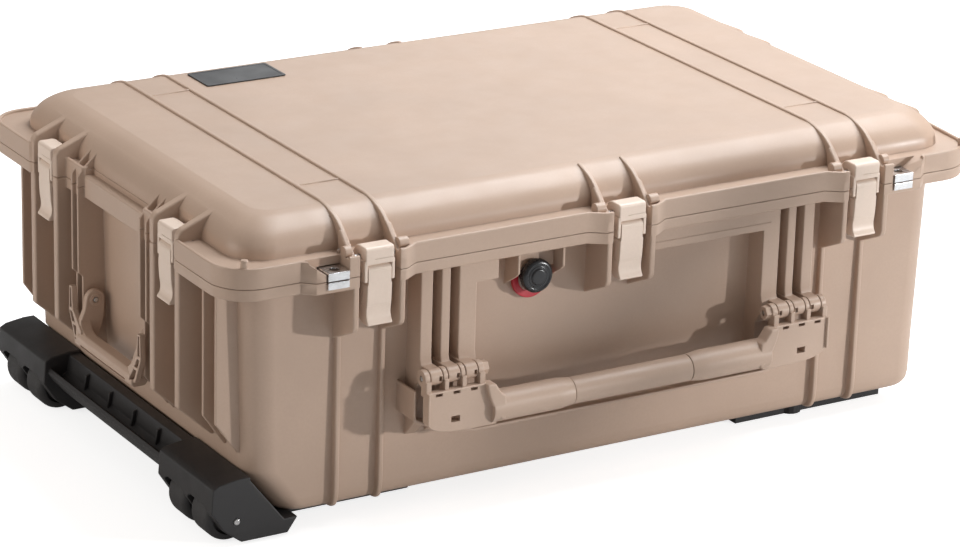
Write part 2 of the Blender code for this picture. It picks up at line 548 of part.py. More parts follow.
# ---- Side handles ----
for tag, side in (("left", -1), ("right", 1)):
    pivot = joint("side_handle_hinge_" + tag, side * SIDE_X, 0, SIDE_Z)
    arm = arc(SIDE_X, SIDE_Z, SIDE_R, 0, 180, 8) + [
        (0.3745, 0.1250), (0.3800, 0.1100), (0.3880, 0.0955), (0.3990, 0.0945), (0.4015, 0.0985),
        (0.4015, 0.1080), (0.3960, 0.1250)]
    arm = [(side * x, z) for x, z in arm]
    bar = [(side * x, z) for x, z in ((0.3880, 0.0950), (0.4000, 0.0950), (0.4025, 0.0975),
                                      (0.4025, 0.1060), (0.3990, 0.1095), (0.3890, 0.1095),
                                      (0.3866, 0.1060))]
    piece = add("side_handle_" + tag, prism("y", -ARM_OUT, ARM_OUT, bar), tan_handle, pivot)
    extra = []
    for mirror in (-1, 1):
        lo, hi = span(mirror, ARM_IN, ARM_OUT)
        extra.append(prism("y", lo, hi, arm))
        corner = [(0.0545, 0.1085)] + arc(ARM_IN - 0.0100, 0.1195, 0.0100, 0, -90, 4)
        x0, x1 = span(side, 0.3885, 0.3985)
        extra.append(prism("x", x0, x1, [(mirror * y, z) for y, z in corner]))
        ladder = [(mirror * y, z) for y, z in ((0.0480, 0.0955), (0.0640, 0.1010), (0.0755, 0.1260),
                                               (0.0742, 0.1500), (0.0685, 0.1500), (0.0672, 0.1280),
                                               (0.0500, 0.1120))]
        x0, x1 = span(side, 0.3950, 0.4005)
        extra.append(prism("x", x0, x1, ladder))
    combine(piece, "UNION", extra)
    cuts = []
    for mirror in (-1, 1):
        lo, hi = span(mirror, 0.0510, 0.0650)
        cuts.append(rod("y", lo, hi, side * SIDE_X, SIDE_Z, PIN_HOLE_R, 12))
    combine(piece, "DIFFERENCE", cuts)
    for end, mirror in (("front", -1), ("rear", 1)):
        lo, hi = span(mirror, 0.0520, 0.0825)
        add(f"side_handle_pin_{tag}_{end}", rod("y", lo, hi, side * SIDE_X, SIDE_Z, PIN_R, 12), pin_steel)

# ---- Wheel carriage, wheels and axles ----
black_carriage = finish("carriage_black", BLACK, 0.5)
HOUSING = ((-0.4044, 0.0572), (-0.3980, 0.0606), (-0.3790, 0.0635), (-0.3675, 0.0635), (-0.3675, 0.0600),
           (-0.3425, 0.0285), (-0.3335, 0.0171), (-0.3200, 0.0171), (-0.3300, 0.0030), (-0.3760, 0.0030),
           (-0.3934, 0.0160), (-0.4060, 0.0352))
BEAM = ((-0.3790, 0.0605), (-0.3680, 0.0605), (-0.3433, 0.0290), (-0.3400, 0.0180), (-0.3600, 0.0180),
        (-0.3850, 0.0240), (-0.3990, 0.0400), (-0.4020, 0.0460), (-0.3990, 0.0500), (-0.3950, 0.0460),
        (-0.3880, 0.0400), (-0.3820, 0.0440))
carriage = add("wheel_carriage", prism("y", -0.1250, 0.1250, BEAM), black_carriage)
extra = []
for side in (-1, 1):
    lo, hi = span(side, 0.1210, 0.2265)
    extra.append(prism("y", lo, hi, HOUSING))
    extra.append(box(-0.3400, -0.1850, *span(side, 0.1650, 0.1880), 0.0030, 0.0171))
for y in (-0.0750, -0.0250, 0.0250, 0.0750):
    extra.append(prism("y", y - 0.0012, y + 0.0012, ((-0.3780, 0.0420), (-0.3860, 0.0420),
                                                     (-0.3840, 0.0560), (-0.3780, 0.0580))))
combine(carriage, "UNION", extra)
cuts = []
for side in (-1, 1):
    for inner, outer in WHEEL_SPANS:
        lo, hi = span(side, (inner - 0.0022), (outer + 0.0022))
        cuts.append(rod("y", lo, hi, WHEEL_X, WHEEL_Z, WELL_R, 24))
        cuts.append(box(WHEEL_X - WELL_R, WHEEL_X + WELL_R, lo, hi, -0.0100, WHEEL_Z))
        cuts.append(box(-0.4200, WHEEL_X, lo, hi, WHEEL_Z - 0.0100, WHEEL_Z + 0.0155))
    lo, hi = span(side, 0.1235, 0.2300)
    cuts.append(rod("y", lo, hi, WHEEL_X, WHEEL_Z, AXLE_HOLE_R, 16))
combine(carriage, "DIFFERENCE", cuts)

wheel_rubber = finish("wheel_rubber", (0.035, 0.035, 0.037), 0.6)
for row, side in (("front", -1), ("rear", 1)):
    for place_name, (inner, outer) in zip(("inner", "outer"), WHEEL_SPANS):
        lo, hi = span(side, inner, outer)
        mid, half = (lo + hi) / 2, (hi - lo) / 2
        hub = joint(f"wheel_axis_{row}_{place_name}", WHEEL_X, mid, WHEEL_Z)
        profile = ((0.0036, mid - half), (0.0120, mid - half), (0.0150, mid - half + 0.005),
                   (0.0190, mid - half + 0.0004), (WHEEL_R - 0.002, mid - half),
                   (WHEEL_R, mid - half + 0.003), (WHEEL_R, mid + half - 0.003),
                   (WHEEL_R - 0.002, mid + half), (0.0190, mid + half - 0.0004),
                   (0.0150, mid + half - 0.005), (0.0120, mid + half), (0.0036, mid + half))
        add(f"wheel_{row}_{place_name}", ring_solid("y", WHEEL_X, WHEEL_Z, profile, 22), wheel_rubber, hub)
    lo, hi = span(side, 0.1240, 0.2275)
    add("axle_" + row, rod("y", lo, hi, WHEEL_X, WHEEL_Z, AXLE_R, 16), pin_steel)

# ---- Feet under the far end ----
foot_rubber = finish("foot_black", BLACK, 0.6)
for tag, side in (("front", -1), ("rear", 1)):
    foot = add("foot_" + tag, box(0.1750, 0.3450, *span(side, 0.1650, 0.1900), 0.0, 0.0171),
               foot_rubber, smooth=False)
    combine(foot, "UNION", [rod("z", 0.0, 0.0171, 0.2420, side * 0.1840, 0.0115, 16)])

# ---- Sliding pull handle under the far end ----
black_pull = finish("pull_black", BLACK, 0.45)
rails = add("pull_handle_housing", box(0.3300, 0.3560, -0.0930, 0.0930, 0.0035, 0.0171), black_pull,
            smooth=False)
combine(rails, "UNION", [box(-0.0600, 0.3400, -0.0930, -0.0770, 0.0035, 0.0171),
                         box(-0.0600, 0.3400, 0.0770, 0.0930, 0.0035, 0.0171)])
combine(rails, "DIFFERENCE", [rod("x", -0.0520, 0.3700, y, TUBE_Z, 0.0052, 16) for y in (-TUBE_Y, TUBE_Y)])
pull = joint("pull_slide", 0.3700, 0, TUBE_Z)
for tag, y in (("front", -TUBE_Y), ("rear", TUBE_Y)):
    add("pull_tube_" + tag, rod("x", -0.0500, 0.3660, y, TUBE_Z, TUBE_R, 16),
        finish("tube_steel_" + tag, STEEL, 0.3, 1.0), pull)
grip = add("pull_grip", prism("y", -0.0960, 0.0960, ((0.3580, 0.0045), (0.3790, 0.0045), (0.3820, 0.0070),
                                                      (0.3820, 0.0140), (0.3790, 0.0165), (0.3580, 0.0165))),
           black_pull, pull, smooth=False)
combine(grip, "DIFFERENCE", [rod("x", 0.3500, 0.3670, y, TUBE_Z, 0.0050, 16) for y in (-TUBE_Y, TUBE_Y)]
        + [box(0.3720, 0.3900, -0.0130, 0.0130, 0.0066, 0.0144)])
press = joint("pull_lock_button_slide", 0.3800, 0, 0.0105)
add("pull_lock_button", box(0.3760, 0.3845, -0.0126, 0.0126, 0.0070, 0.0140),
    finish("button_grey", (0.12, 0.12, 0.12), 0.4), press, smooth=False)
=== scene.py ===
"""The looks of a rolling hard equipment case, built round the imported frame, in metres.

Shapes are drawn about the case's own centre lines and then moved to where the frame has it.
The front of the case, with the carrying handle, faces -Y, and the wheels are at the -X end.
"""

import json
import math

import bmesh
import bpy
from mathutils import Matrix, Vector

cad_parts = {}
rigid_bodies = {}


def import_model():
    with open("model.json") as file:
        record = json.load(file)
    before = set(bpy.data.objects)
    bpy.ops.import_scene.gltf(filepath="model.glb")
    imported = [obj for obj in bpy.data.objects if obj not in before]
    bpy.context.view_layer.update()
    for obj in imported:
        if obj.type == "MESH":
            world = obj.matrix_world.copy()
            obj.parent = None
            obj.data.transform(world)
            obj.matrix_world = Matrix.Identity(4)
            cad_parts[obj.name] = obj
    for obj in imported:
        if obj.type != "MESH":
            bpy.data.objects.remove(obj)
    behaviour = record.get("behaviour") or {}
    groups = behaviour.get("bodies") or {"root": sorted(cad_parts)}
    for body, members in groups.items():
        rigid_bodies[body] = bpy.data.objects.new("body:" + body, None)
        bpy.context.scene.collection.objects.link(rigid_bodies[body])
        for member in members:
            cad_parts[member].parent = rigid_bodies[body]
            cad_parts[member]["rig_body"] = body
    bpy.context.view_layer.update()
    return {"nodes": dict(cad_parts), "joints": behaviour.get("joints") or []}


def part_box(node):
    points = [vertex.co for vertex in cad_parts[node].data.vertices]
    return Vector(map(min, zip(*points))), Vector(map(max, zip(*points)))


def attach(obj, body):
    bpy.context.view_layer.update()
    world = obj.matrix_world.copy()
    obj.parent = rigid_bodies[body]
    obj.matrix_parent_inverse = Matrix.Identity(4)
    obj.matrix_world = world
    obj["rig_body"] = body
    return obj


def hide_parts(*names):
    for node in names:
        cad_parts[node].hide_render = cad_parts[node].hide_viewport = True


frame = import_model()
JOINTS = {joint["name"]: joint for joint in frame["joints"]}
CENTRE = Vector((JOINTS["lid_hinge"]["pos_m"][0], JOINTS["side_handle_hinge_left"]["pos_m"][1], 0))


def joint_at(name):
    """A joint's point, from the case's own centre lines."""
    return Vector(JOINTS[name]["pos_m"]) - CENTRE


# Heights, from the frame.
HINGE = joint_at("lid_hinge")
PART_Z = HINGE.z
RIB_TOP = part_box("lid_shell")[1].z
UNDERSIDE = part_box("base_shell")[0].z
RIB_RISE = 0.0020
LID_TOP = RIB_TOP - RIB_RISE
SPLIT = 0.0002
FLANGE_TOP = PART_Z + 0.0170
LIP_TOP = PART_Z + 0.0190
LIP_WIDTH = 0.0034
BAND_LOW = PART_Z - 0.0110

# The rim both halves share, the body below it and the dome above it.
RIM_X, RIM_Y, RIM_R = 0.3965, 0.2515, 0.036
WHEEL_END_X = 0.4040
BUMP_Y, BUMP_X = 0.2610, 0.4020
BAY_X, BAY_HALF = 0.3890, 0.0620
BASE_TABLE = ((UNDERSIDE, 0.3300, 0.3540, 0.2110, 0.020), (0.0192, 0.3320, 0.3608, 0.2175, 0.023),
              (0.0240, 0.3370, 0.3652, 0.2210, 0.025), (0.0320, 0.3435, 0.3667, 0.2224, 0.026))
BASE_STRAIGHT = ((0.0625, 0.3665, 0.3668, 0.2228, 0.026), (0.2440, 0.3710, 0.3710, 0.2255, 0.026))
DOME_X, DOME_Y, DOME_R = 0.3800, 0.2300, 0.034
DOME_TABLE = ((0.2560, 0.0), (0.2700, 0.0008), (0.2780, 0.0040), (0.2850, 0.0095), (0.2905, 0.0170),
              (0.2942, 0.0250), (LID_TOP, 0.0345))
SEAL_X, SEAL_Y, SEAL_R = 0.3710, 0.2310, 0.030

# Latches, guard fins and the thin ribs beside the handle bays.
FRONT_LATCH_X = [joint_at("latch_swing_front_" + tag).x for tag in ("left", "mid", "right")]
END_LATCH_Y = [joint_at("latch_swing_left_" + tag).y for tag in ("front", "rear")]
FIN_IN, FIN_OUT, FRONT_FIN_OUT, END_FIN_OUT = 0.0203, 0.0245, 0.0260, 0.0290
FIN_FOOT, END_FIN_FOOT = 0.1980, 0.1080
THIN_Y, THIN_HALF, THIN_X, THIN_FOOT = (-0.0770, -0.0645, 0.0645, 0.0770), 0.0014, 0.3960, 0.1060
THIN_LOW_X = 0.3915
CORNER_Y, CORNER_HALF, CORNER_X = (-0.2010, -0.1770, 0.1770, 0.2010), 0.0018, 0.3900
LATCH_PIN = (-0.0130, 0.2610)
FRONT_PIN_Y = -BUMP_Y - LATCH_PIN[0]
LEVER_PIN = (-0.0060, 0.2495)
END_FACE_X = 0.4015
BAY_BAR_LOW, BAY_BAR_TOP, BAY_BAR_HALF = 0.2380, 0.2588, 0.0600
BAY_WALL_X, BAY_CUT_HALF = 0.3745, 0.0612

# Handles, wheels, valve and padlock holes.
HINGE_R = 0.0060
HANDLE = joint_at("front_handle_hinge")
HANDLE_R = 0.0078
GRIP_Y, GRIP_Z, GRIP_END_R = -0.2645, 0.1036, 0.0143
PLATE_BACK, PLATE_FACE = -0.2640, -0.2720
SIDE = joint_at("side_handle_hinge_right")
SIDE_R = 0.0095
ARM_IN, ARM_OUT = 0.0535, 0.0600
POSTS = ((0.1995, 0.2115), (0.1815, 0.1905), (0.1545, 0.1725))
KNUCKLES = ((0.1985, 0.2105), (0.1805, 0.1925), (0.1625, 0.1745))
HANDLE_KNUCKLES = ((0.2113, 0.2165), (0.1933, 0.1977), (0.1753, 0.1797), (0.1560, 0.1617))
VALVE_X, VALVE_Z = -0.0870, 0.2100
LOCK_X, LOCK_Y, LOCK_HOLE_R = 0.3020, -0.2535, 0.0045
WHEEL = joint_at("wheel_spin_rear_inner")
WHEEL_R = WHEEL.z
WHEEL_SPANS = ((0.1350, 0.1690), (0.1800, 0.2140))
WELL_R, AXLE_HOLE_R = 0.0262, 0.0034
PIN_HOLE_R = 0.0028

# What stands on the front starts inside the wall and below the band's top; cutters start clear outside.
ROOT_Y, ROOT_TOP = -0.2200, 0.2400
APRON_Y = -0.2485
PAST_FRONT, PAST_END, PAST_RIM = -0.2800, 0.4200, 0.2600
NOTCH_LOW, NOTCH_TOP, NOTCH_Y, NOTCH_X = 0.2330, 0.2900, -0.2365, 0.3768

# Back hinges: the base's two knuckles, the lid's one between them, and the holes for the pin.
BASE_KNUCKLES = ((-0.0180, -0.0065), (0.0065, 0.0180))
LID_KNUCKLE_HALF = 0.0057
KNUCKLE_ROOM = 0.0070
HINGE_ROOT_Y = 0.2440
HINGE_HOLE_HALF, BASE_HINGE_HOLE_R, LID_HINGE_HOLE_R = 0.0300, 0.0024, 0.0026

# Pockets and pressed plates at the padlock holes.
POCKET_Y, POCKET_HALF, NOTCH_HALF = -0.2430, 0.0112, 0.0115
PLATE_HALF, PLATE_FRONT, PLATE_HOLE_R = 0.0105, -0.2628, 0.0044

# How much edges are rounded.
CRISP, SOFT, ROUND, WIDE = 0.0005, 0.0010, 0.0015, 0.0018


# ---- Materials ----
class Nodes:
    """A material's node tree, with short calls for the nodes used here."""

    def __init__(self, name):
        self.material = bpy.data.materials.new(name)
        self.material.use_nodes = True
        self.tree = self.material.node_tree
        self.shader = self.tree.nodes["Principled BSDF"]
        self.place = self.tree.nodes.new("ShaderNodeTexCoord").outputs["Object"]

    def link(self, source, socket):
        self.tree.links.new(source, socket)

    def stretched(self, scale):
        node = self.tree.nodes.new("ShaderNodeMapping")
        node.inputs["Scale"].default_value = scale
        self.link(self.place, node.inputs["Vector"])
        return node.outputs["Vector"]

    def noise(self, scale, detail, vector=None):
        node = self.tree.nodes.new("ShaderNodeTexNoise")
        node.inputs["Scale"].default_value = scale
        node.inputs["Detail"].default_value = detail
        self.link(vector or self.place, node.inputs["Vector"])
        return node.outputs["Fac"]

    def ranged(self, value, low, high, to_low, to_high):
        node = self.tree.nodes.new("ShaderNodeMapRange")
        for socket, number in zip(list(node.inputs)[1:5], (low, high, to_low, to_high)):
            socket.default_value = number
        self.link(value, node.inputs["Value"])
        return node.outputs["Result"]

    def times(self, a, b):
        node = self.tree.nodes.new("ShaderNodeMath")
        node.operation = "MULTIPLY"
        self.link(a, node.inputs[0])
        self.link(b, node.inputs[1])
        return node.outputs["Value"]

    def blend(self, factor, a, b):
        """Two colours mixed by a factor; each colour is a tuple or a socket."""
        node = self.tree.nodes.new("ShaderNodeMix")
        node.data_type = "RGBA"
        self.link(factor, node.inputs["Factor"])
        for socket, colour in ((node.inputs[6], a), (node.inputs[7], b)):
            if isinstance(colour, tuple):
                socket.default_value = (*colour, 1)
            else:
                self.link(colour, socket)
        return node.outputs[2]

    def edges(self, radius):
        """The rounded normal, and how strongly a point lies on an edge."""
        bevel = self.tree.nodes.new("ShaderNodeBevel")
        bevel.samples = 4
        bevel.inputs["Radius"].default_value = radius
        geometry = self.tree.nodes.new("ShaderNodeNewGeometry")
        dot = self.tree.nodes.new("ShaderNodeVectorMath")
        dot.operation = "DOT_PRODUCT"
        self.link(bevel.outputs["Normal"], dot.inputs[0])
        self.link(geometry.outputs["Normal"], dot.inputs[1])
        return bevel.outputs["Normal"], self.ranged(dot.outputs["Value"], 0.99, 0.80, 0.0, 1.0)

    def bump(self, height, strength, distance, normal):
        node = self.tree.nodes.new("ShaderNodeBump")
        node.inputs["Strength"].default_value = strength
        node.inputs["Distance"].default_value = distance
        self.link(height, node.inputs["Height"])
        self.link(normal, node.inputs["Normal"])
        self.link(node.outputs["Normal"], self.shader.inputs["Normal"])


def scaled(colour, factor):
    return tuple(min(1.0, channel * factor) for channel in colour)


# How many cloudy patches, specks, worn stretches and dull patches fit in a metre.
CLOUDS, SPECKS, WORN, DULL = 14, 420, 70, 35


def plastic(name, colour, rough, grain, relief, wear, edge_radius=0.0012):
    """Moulded plastic: a grain of a given size, faint mottling, and edges rubbed lighter."""
    n = Nodes(name)
    normal, edge = n.edges(edge_radius)
    cloud = n.ranged(n.noise(CLOUDS, 4), 0.3, 0.7, 0, 1)
    speck = n.ranged(n.noise(SPECKS, 3), 0.35, 0.65, 0, 1)
    base = n.blend(cloud, scaled(colour, 0.955), scaled(colour, 1.035))
    base = n.blend(n.ranged(speck, 0, 1, 0, 0.35), base, scaled(colour, 0.93))
    rubbed = n.times(edge, n.ranged(n.noise(WORN, 4), 0.35, 0.7, 0.15, wear))
    n.link(n.blend(rubbed, base, scaled(colour, 1.45)), n.shader.inputs["Base Color"])
    n.link(n.ranged(n.noise(DULL, 5), 0.3, 0.7, rough - 0.05, rough + 0.07), n.shader.inputs["Roughness"])
    n.bump(n.noise(1 / grain, 3), 0.35, relief, normal)
    return n.material


def metal(name, colour, rough, direction, scratch):
    """Drawn or brushed steel: fine lines along one direction, with cloudy dull patches."""
    n = Nodes(name)
    normal, edge = n.edges(0.0005)
    lines = n.noise(1, 4, n.stretched(direction))
    dull = n.ranged(n.noise(160, 4), 0.4, 0.7, 0, 1)
    base = n.blend(n.ranged(dull, 0, 1, 0, 0.5), colour, scaled(colour, 0.72))
    n.link(n.blend(n.times(edge, lines), base, scaled(colour, 1.2)), n.shader.inputs["Base Color"])
    n.shader.inputs["Metallic"].default_value = 1.0
    n.link(n.ranged(lines, 0.25, 0.75, rough - 0.07, rough + 0.12), n.shader.inputs["Roughness"])
    n.bump(lines, 0.25, scratch, normal)
    return n.material


def pale_floor():
    """White to the camera, duller to everything else, so it fills the shadows only a little."""
    n = Nodes("pale_floor")
    n.link(n.blend(n.noise(2, 3), (0.62, 0.62, 0.62), (0.66, 0.66, 0.66)), n.shader.inputs["Base Color"])
    n.shader.inputs["Roughness"].default_value = 0.9
    n.shader.inputs["Specular IOR Level"].default_value = 0.1
    n.shader.inputs["Emission Color"].default_value = (1, 1, 1, 1)
    path = n.tree.nodes.new("ShaderNodeLightPath")
    n.link(n.ranged(path.outputs["Is Camera Ray"], 0, 1, 0.06, 0.78), n.shader.inputs["Emission Strength"])
    return n.material


TAN = (0.485, 0.352, 0.270)
LATCH_TAN = (0.760, 0.620, 0.520)
HANDLE_TAN = (0.495, 0.362, 0.280)
CHARCOAL = (0.024, 0.023, 0.024)
TAN_SHELL = plastic("tan_moulding", TAN, 0.40, 0.0009, 0.00010, 0.55)
TAN_LATCH = plastic("tan_latch_moulding", LATCH_TAN, 0.38, 0.0007, 0.00006, 0.60, 0.0007)
TAN_HANDLE = plastic("tan_handle_moulding", HANDLE_TAN, 0.42, 0.0008, 0.00009, 0.60, 0.0010)
BLACK_TEXTURED = plastic("black_moulding", CHARCOAL, 0.50, 0.0008, 0.00022, 0.90, 0.0010)
BLACK_GLOSS = plastic("black_gloss_moulding", (0.016, 0.016, 0.018), 0.24, 0.0015, 0.00003, 0.40, 0.0006)
LABEL_BLACK = plastic("label_stock", (0.012, 0.012, 0.013), 0.30, 0.0006, 0.00002, 0.20, 0.0003)
WHEEL_RUBBER = plastic("wheel_tread", (0.036, 0.035, 0.036), 0.62, 0.0010, 0.00020, 0.70)
SEAL_RUBBER = plastic("seal_cord", (0.026, 0.026, 0.026), 0.70, 0.0006, 0.00006, 0.10, 0.0004)
RED_RUBBER = plastic("red_seal", (0.480, 0.020, 0.035), 0.45, 0.0006, 0.00004, 0.20, 0.0004)
PIN_STEEL = metal("pin_steel", (0.60, 0.60, 0.60), 0.30, (400, 400, 400), 0.00002)
PLATE_STEEL = metal("plate_steel", (0.80, 0.80, 0.81), 0.20, (60, 900, 900), 0.00002)
TUBE_STEEL = metal("tube_steel", (0.64, 0.64, 0.65), 0.26, (12, 900, 900), 0.00002)


# ---- Shapes ----
def to_mesh(bm):
    bmesh.ops.recalc_face_normals(bm, faces=bm.faces)
    mesh = bpy.data.meshes.new("shape")
    bm.to_mesh(mesh)
    bm.free()
    return mesh


def soften(mesh, width, segments=2, where=None):
    """Rounds the sharp edges, or only those whose middle passes a test."""
    bm = bmesh.new()
    bm.from_mesh(mesh)
    sharp = []
    for edge in bm.edges:
        middle = (edge.verts[0].co + edge.verts[1].co) / 2
        if edge.is_manifold and edge.calc_face_angle(0) > math.radians(28) and (not where or where(middle)):
            sharp.append(edge)
    bmesh.ops.bevel(bm, geom=sharp, offset=width, segments=segments, profile=0.5, affect="EDGES",
                    clamp_overlap=True)
    bm.to_mesh(mesh)
    bm.free()
    return mesh


def loft(rings):
    """A closed mesh through rings of points, every ring the same length, with flat caps."""
    bm = bmesh.new()
    rows = [[bm.verts.new(point) for point in ring] for ring in rings]
    count = len(rings[0])
    for here, there in zip(rows, rows[1:]):
        for i in range(count):
            j = (i + 1) % count
            bm.faces.new((here[i], here[j], there[j], there[i]))
    bm.faces.new(rows[0])
    bm.faces.new(rows[-1])
    return to_mesh(bm)


def hoop(rows):
    """A closed ring: rows of section points, joined each to the next and the last to the first."""
    bm = bmesh.new()
    rows = [[bm.verts.new(point) for point in row] for row in rows]
    count = len(rows[0])
    for i, here in enumerate(rows):
        there = rows[(i + 1) % len(rows)]
        for k in range(count):
            m = (k + 1) % count
            bm.faces.new((here[k], here[m], there[m], there[k]))
    return to_mesh(bm)


def place(axis, along, a, b):
    """A point from its position along an axis and the two coordinates across it, in x, y, z order."""
    if axis == "x":
        return (along, a, b)
    if axis == "y":
        return (a, along, b)
    return (a, b, along)


def prism(axis, low, high, outline, width=0.0, segments=2):
    mesh = loft([[place(axis, at, a, b) for a, b in outline] for at in (low, high)])
    return soften(mesh, width, segments) if width else mesh


def box(x0, x1, y0, y1, z0, z1, width=0.0):
    return prism("z", z0, z1, ((x0, y0), (x1, y0), (x1, y1), (x0, y1)), width)


def arc(cx, cy, r, start, end, count):
    """Points on an arc, in degrees, both ends included."""
    angles = [math.radians(start + (end - start) * i / count) for i in range(count + 1)]
    return [(cx + r * math.cos(t), cy + r * math.sin(t)) for t in angles]


def circle(a, b, radius, count):
    return arc(a, b, radius, 0, 360, count)[:-1]


def rod(axis, low, high, a, b, radius, count=24, width=0.0):
    return prism(axis, low, high, circle(a, b, radius, count), width)


def turned(axis, a, b, stations, count):
    """A stepped shaft: stations are (position along the axis, radius)."""
    return loft([[place(axis, at, p, q) for p, q in circle(a, b, r, count)] for at, r in stations])


def turned_ring(axis, a, b, profile, count=48):
    """A closed profile of (radius, position) points carried round an axis."""
    rows = []
    for p, q in circle(0, 0, 1, count):
        rows.append([place(axis, at, a + r * p, b + r * q) for r, at in profile])
    return hoop(rows)


def rounded(left, right, half_y, r, count=12):
    """A rectangle with round corners, from x = -left to x = right."""
    return (arc(right - r, half_y - r, r, 0, 90, count)
            + arc(-left + r, half_y - r, r, 90, 180, count)
            + arc(-left + r, -half_y + r, r, 180, 270, count)
            + arc(right - r, -half_y + r, r, 270, 360, count))


def stacked(table):
    """A solid through rounded rectangles: (height, left, right, half width, corner radius) each."""
    return loft([[(x, y, z) for x, y in rounded(left, right, w, r)] for z, left, right, w, r in table])


def curve_through(points, steps):
    """A smooth run of points through the given ones, both ends included."""
    out = []
    last = len(points) - 1
    for i in range(last):
        near = (points[max(i - 1, 0)], points[i], points[i + 1], points[min(i + 2, last)])
        for k in range(steps):
            t = k / steps
            out.append(tuple(0.5 * (2 * b + (c - a) * t + (2 * a - 5 * b + 4 * c - d) * t * t
                                    + (3 * b - a - 3 * c + d) * t ** 3) for a, b, c, d in zip(*near)))
    return out + [tuple(points[-1])]


def both(outline):
    """An outline and its copy mirrored in x."""
    return (outline, [(-a, b) for a, b in outline])


def span(side, inner, outer):
    """Two distances from the centre line, on one side of it, in rising order."""
    return sorted((side * inner, side * outer))


def across(centre, half):
    """The two ends of a stretch, from its middle and half its length."""
    return centre - half, centre + half


def fin_spans(centre, out=FIN_OUT):
    """Where the two guard fins beside a latch stand."""
    return ((centre - out, centre - FIN_IN), (centre + FIN_IN, centre + out))


def inset(outline, distance):
    """An anticlockwise outline moved inwards, each corner along its own bisector."""
    out = []
    for i, here in enumerate(outline):
        before, after = Vector(outline[i - 1]), Vector(outline[(i + 1) % len(outline)])
        one = (Vector(here) - before).normalized()
        two = (after - Vector(here)).normalized()
        normal = Vector((-one.y - two.y, one.x + two.x)).normalized()
        spread = max(0.5, normal.dot(Vector((-one.y, one.x))))
        out.append(tuple(Vector(here) + normal * distance / spread))
    return out


# Where the flange steps out and back round each front latch.
FRONT_BUMPS = ((-0.3335, -0.3230, -0.2330, -0.2190), (-0.0420, -0.0275, 0.0275, 0.0420),
               (0.2190, 0.2330, 0.3230, 0.3335))
LEFT_STEP = [(-WHEEL_END_X, 0.1520), (-BUMP_X, 0.1497), (-BUMP_X, 0.1000), (-0.3920, 0.0950),
             (-0.3920, BAY_HALF + 0.002), (-BAY_X, BAY_HALF)]
RIGHT_STEP = [(BUMP_X, 0.1520), (BUMP_X, 0.1000), (0.3920, 0.0950), (0.3920, BAY_HALF + 0.002),
              (BAY_X, BAY_HALF)]


def rim_outline():
    """The flange both halves share: bumped out round each front latch and along the wheel end."""
    out = arc(RIM_X - RIM_R, RIM_Y - RIM_R, RIM_R, 0, 90, 12)
    out += arc(-WHEEL_END_X + RIM_R, RIM_Y - RIM_R, RIM_R, 90, 180, 12)
    out += LEFT_STEP + [(x, -y) for x, y in LEFT_STEP[::-1]]
    out += arc(-WHEEL_END_X + RIM_R, -RIM_Y + RIM_R, RIM_R, 180, 270, 12)
    for corners in FRONT_BUMPS:
        out += zip(corners, (-RIM_Y, -BUMP_Y, -BUMP_Y, -RIM_Y))
    out += arc(RIM_X - RIM_R, -RIM_Y + RIM_R, RIM_R, 270, 360, 12)
    return out + [(x, -y) for x, y in RIGHT_STEP] + RIGHT_STEP[::-1]


def boolean(target, operation, operands):
    """A mesh joined with, or cut by, the others. The meshes given are used up."""
    group = bpy.data.collections.new("operands")
    bpy.context.scene.collection.children.link(group)
    tools = [bpy.data.objects.new("operand", mesh) for mesh in operands]
    for tool in tools:
        group.objects.link(tool)
    body = bpy.data.objects.new("target", target)
    bpy.context.scene.collection.objects.link(body)
    modifier = body.modifiers.new("boolean", "BOOLEAN")
    modifier.operation = operation
    modifier.solver = "EXACT"
    modifier.use_self = operation == "UNION"
    modifier.operand_type = "COLLECTION"
    modifier.collection = group
    depsgraph = bpy.context.evaluated_depsgraph_get()
    result = bpy.data.meshes.new_from_object(body.evaluated_get(depsgraph))
    for used in tools + [body]:
        mesh = used.data
        bpy.data.objects.remove(used)
        bpy.data.meshes.remove(mesh)
    bpy.data.collections.remove(group)
    return result


def piece(name, mesh, material, body, slot, *nodes):
    """A finished piece of the object, riding on a body in place of the CAD nodes it stands for."""
    mesh.transform(Matrix.Translation(CENTRE))
    mesh.materials.clear()
    mesh.materials.append(material)
    mesh.shade_smooth()
    mesh.set_sharp_from_angle(angle=math.radians(40))
    obj = bpy.data.objects.new(name, mesh)
    bpy.context.scene.collection.objects.link(obj)
    weighted = obj.modifiers.new("weighted_normals", "WEIGHTED_NORMAL")
    weighted.keep_sharp = True
    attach(obj, body)
    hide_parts(*nodes)


# ---- Base shell ----
def end_rib(outer, foot):
    """The x-z outline of a rib down the wheel end; the far end uses its mirror image."""
    return [(-0.3600, 0.2470), (-outer, 0.2470), (-outer, foot), (-0.3690, foot - 0.030),
            (-0.3600, foot - 0.030)]


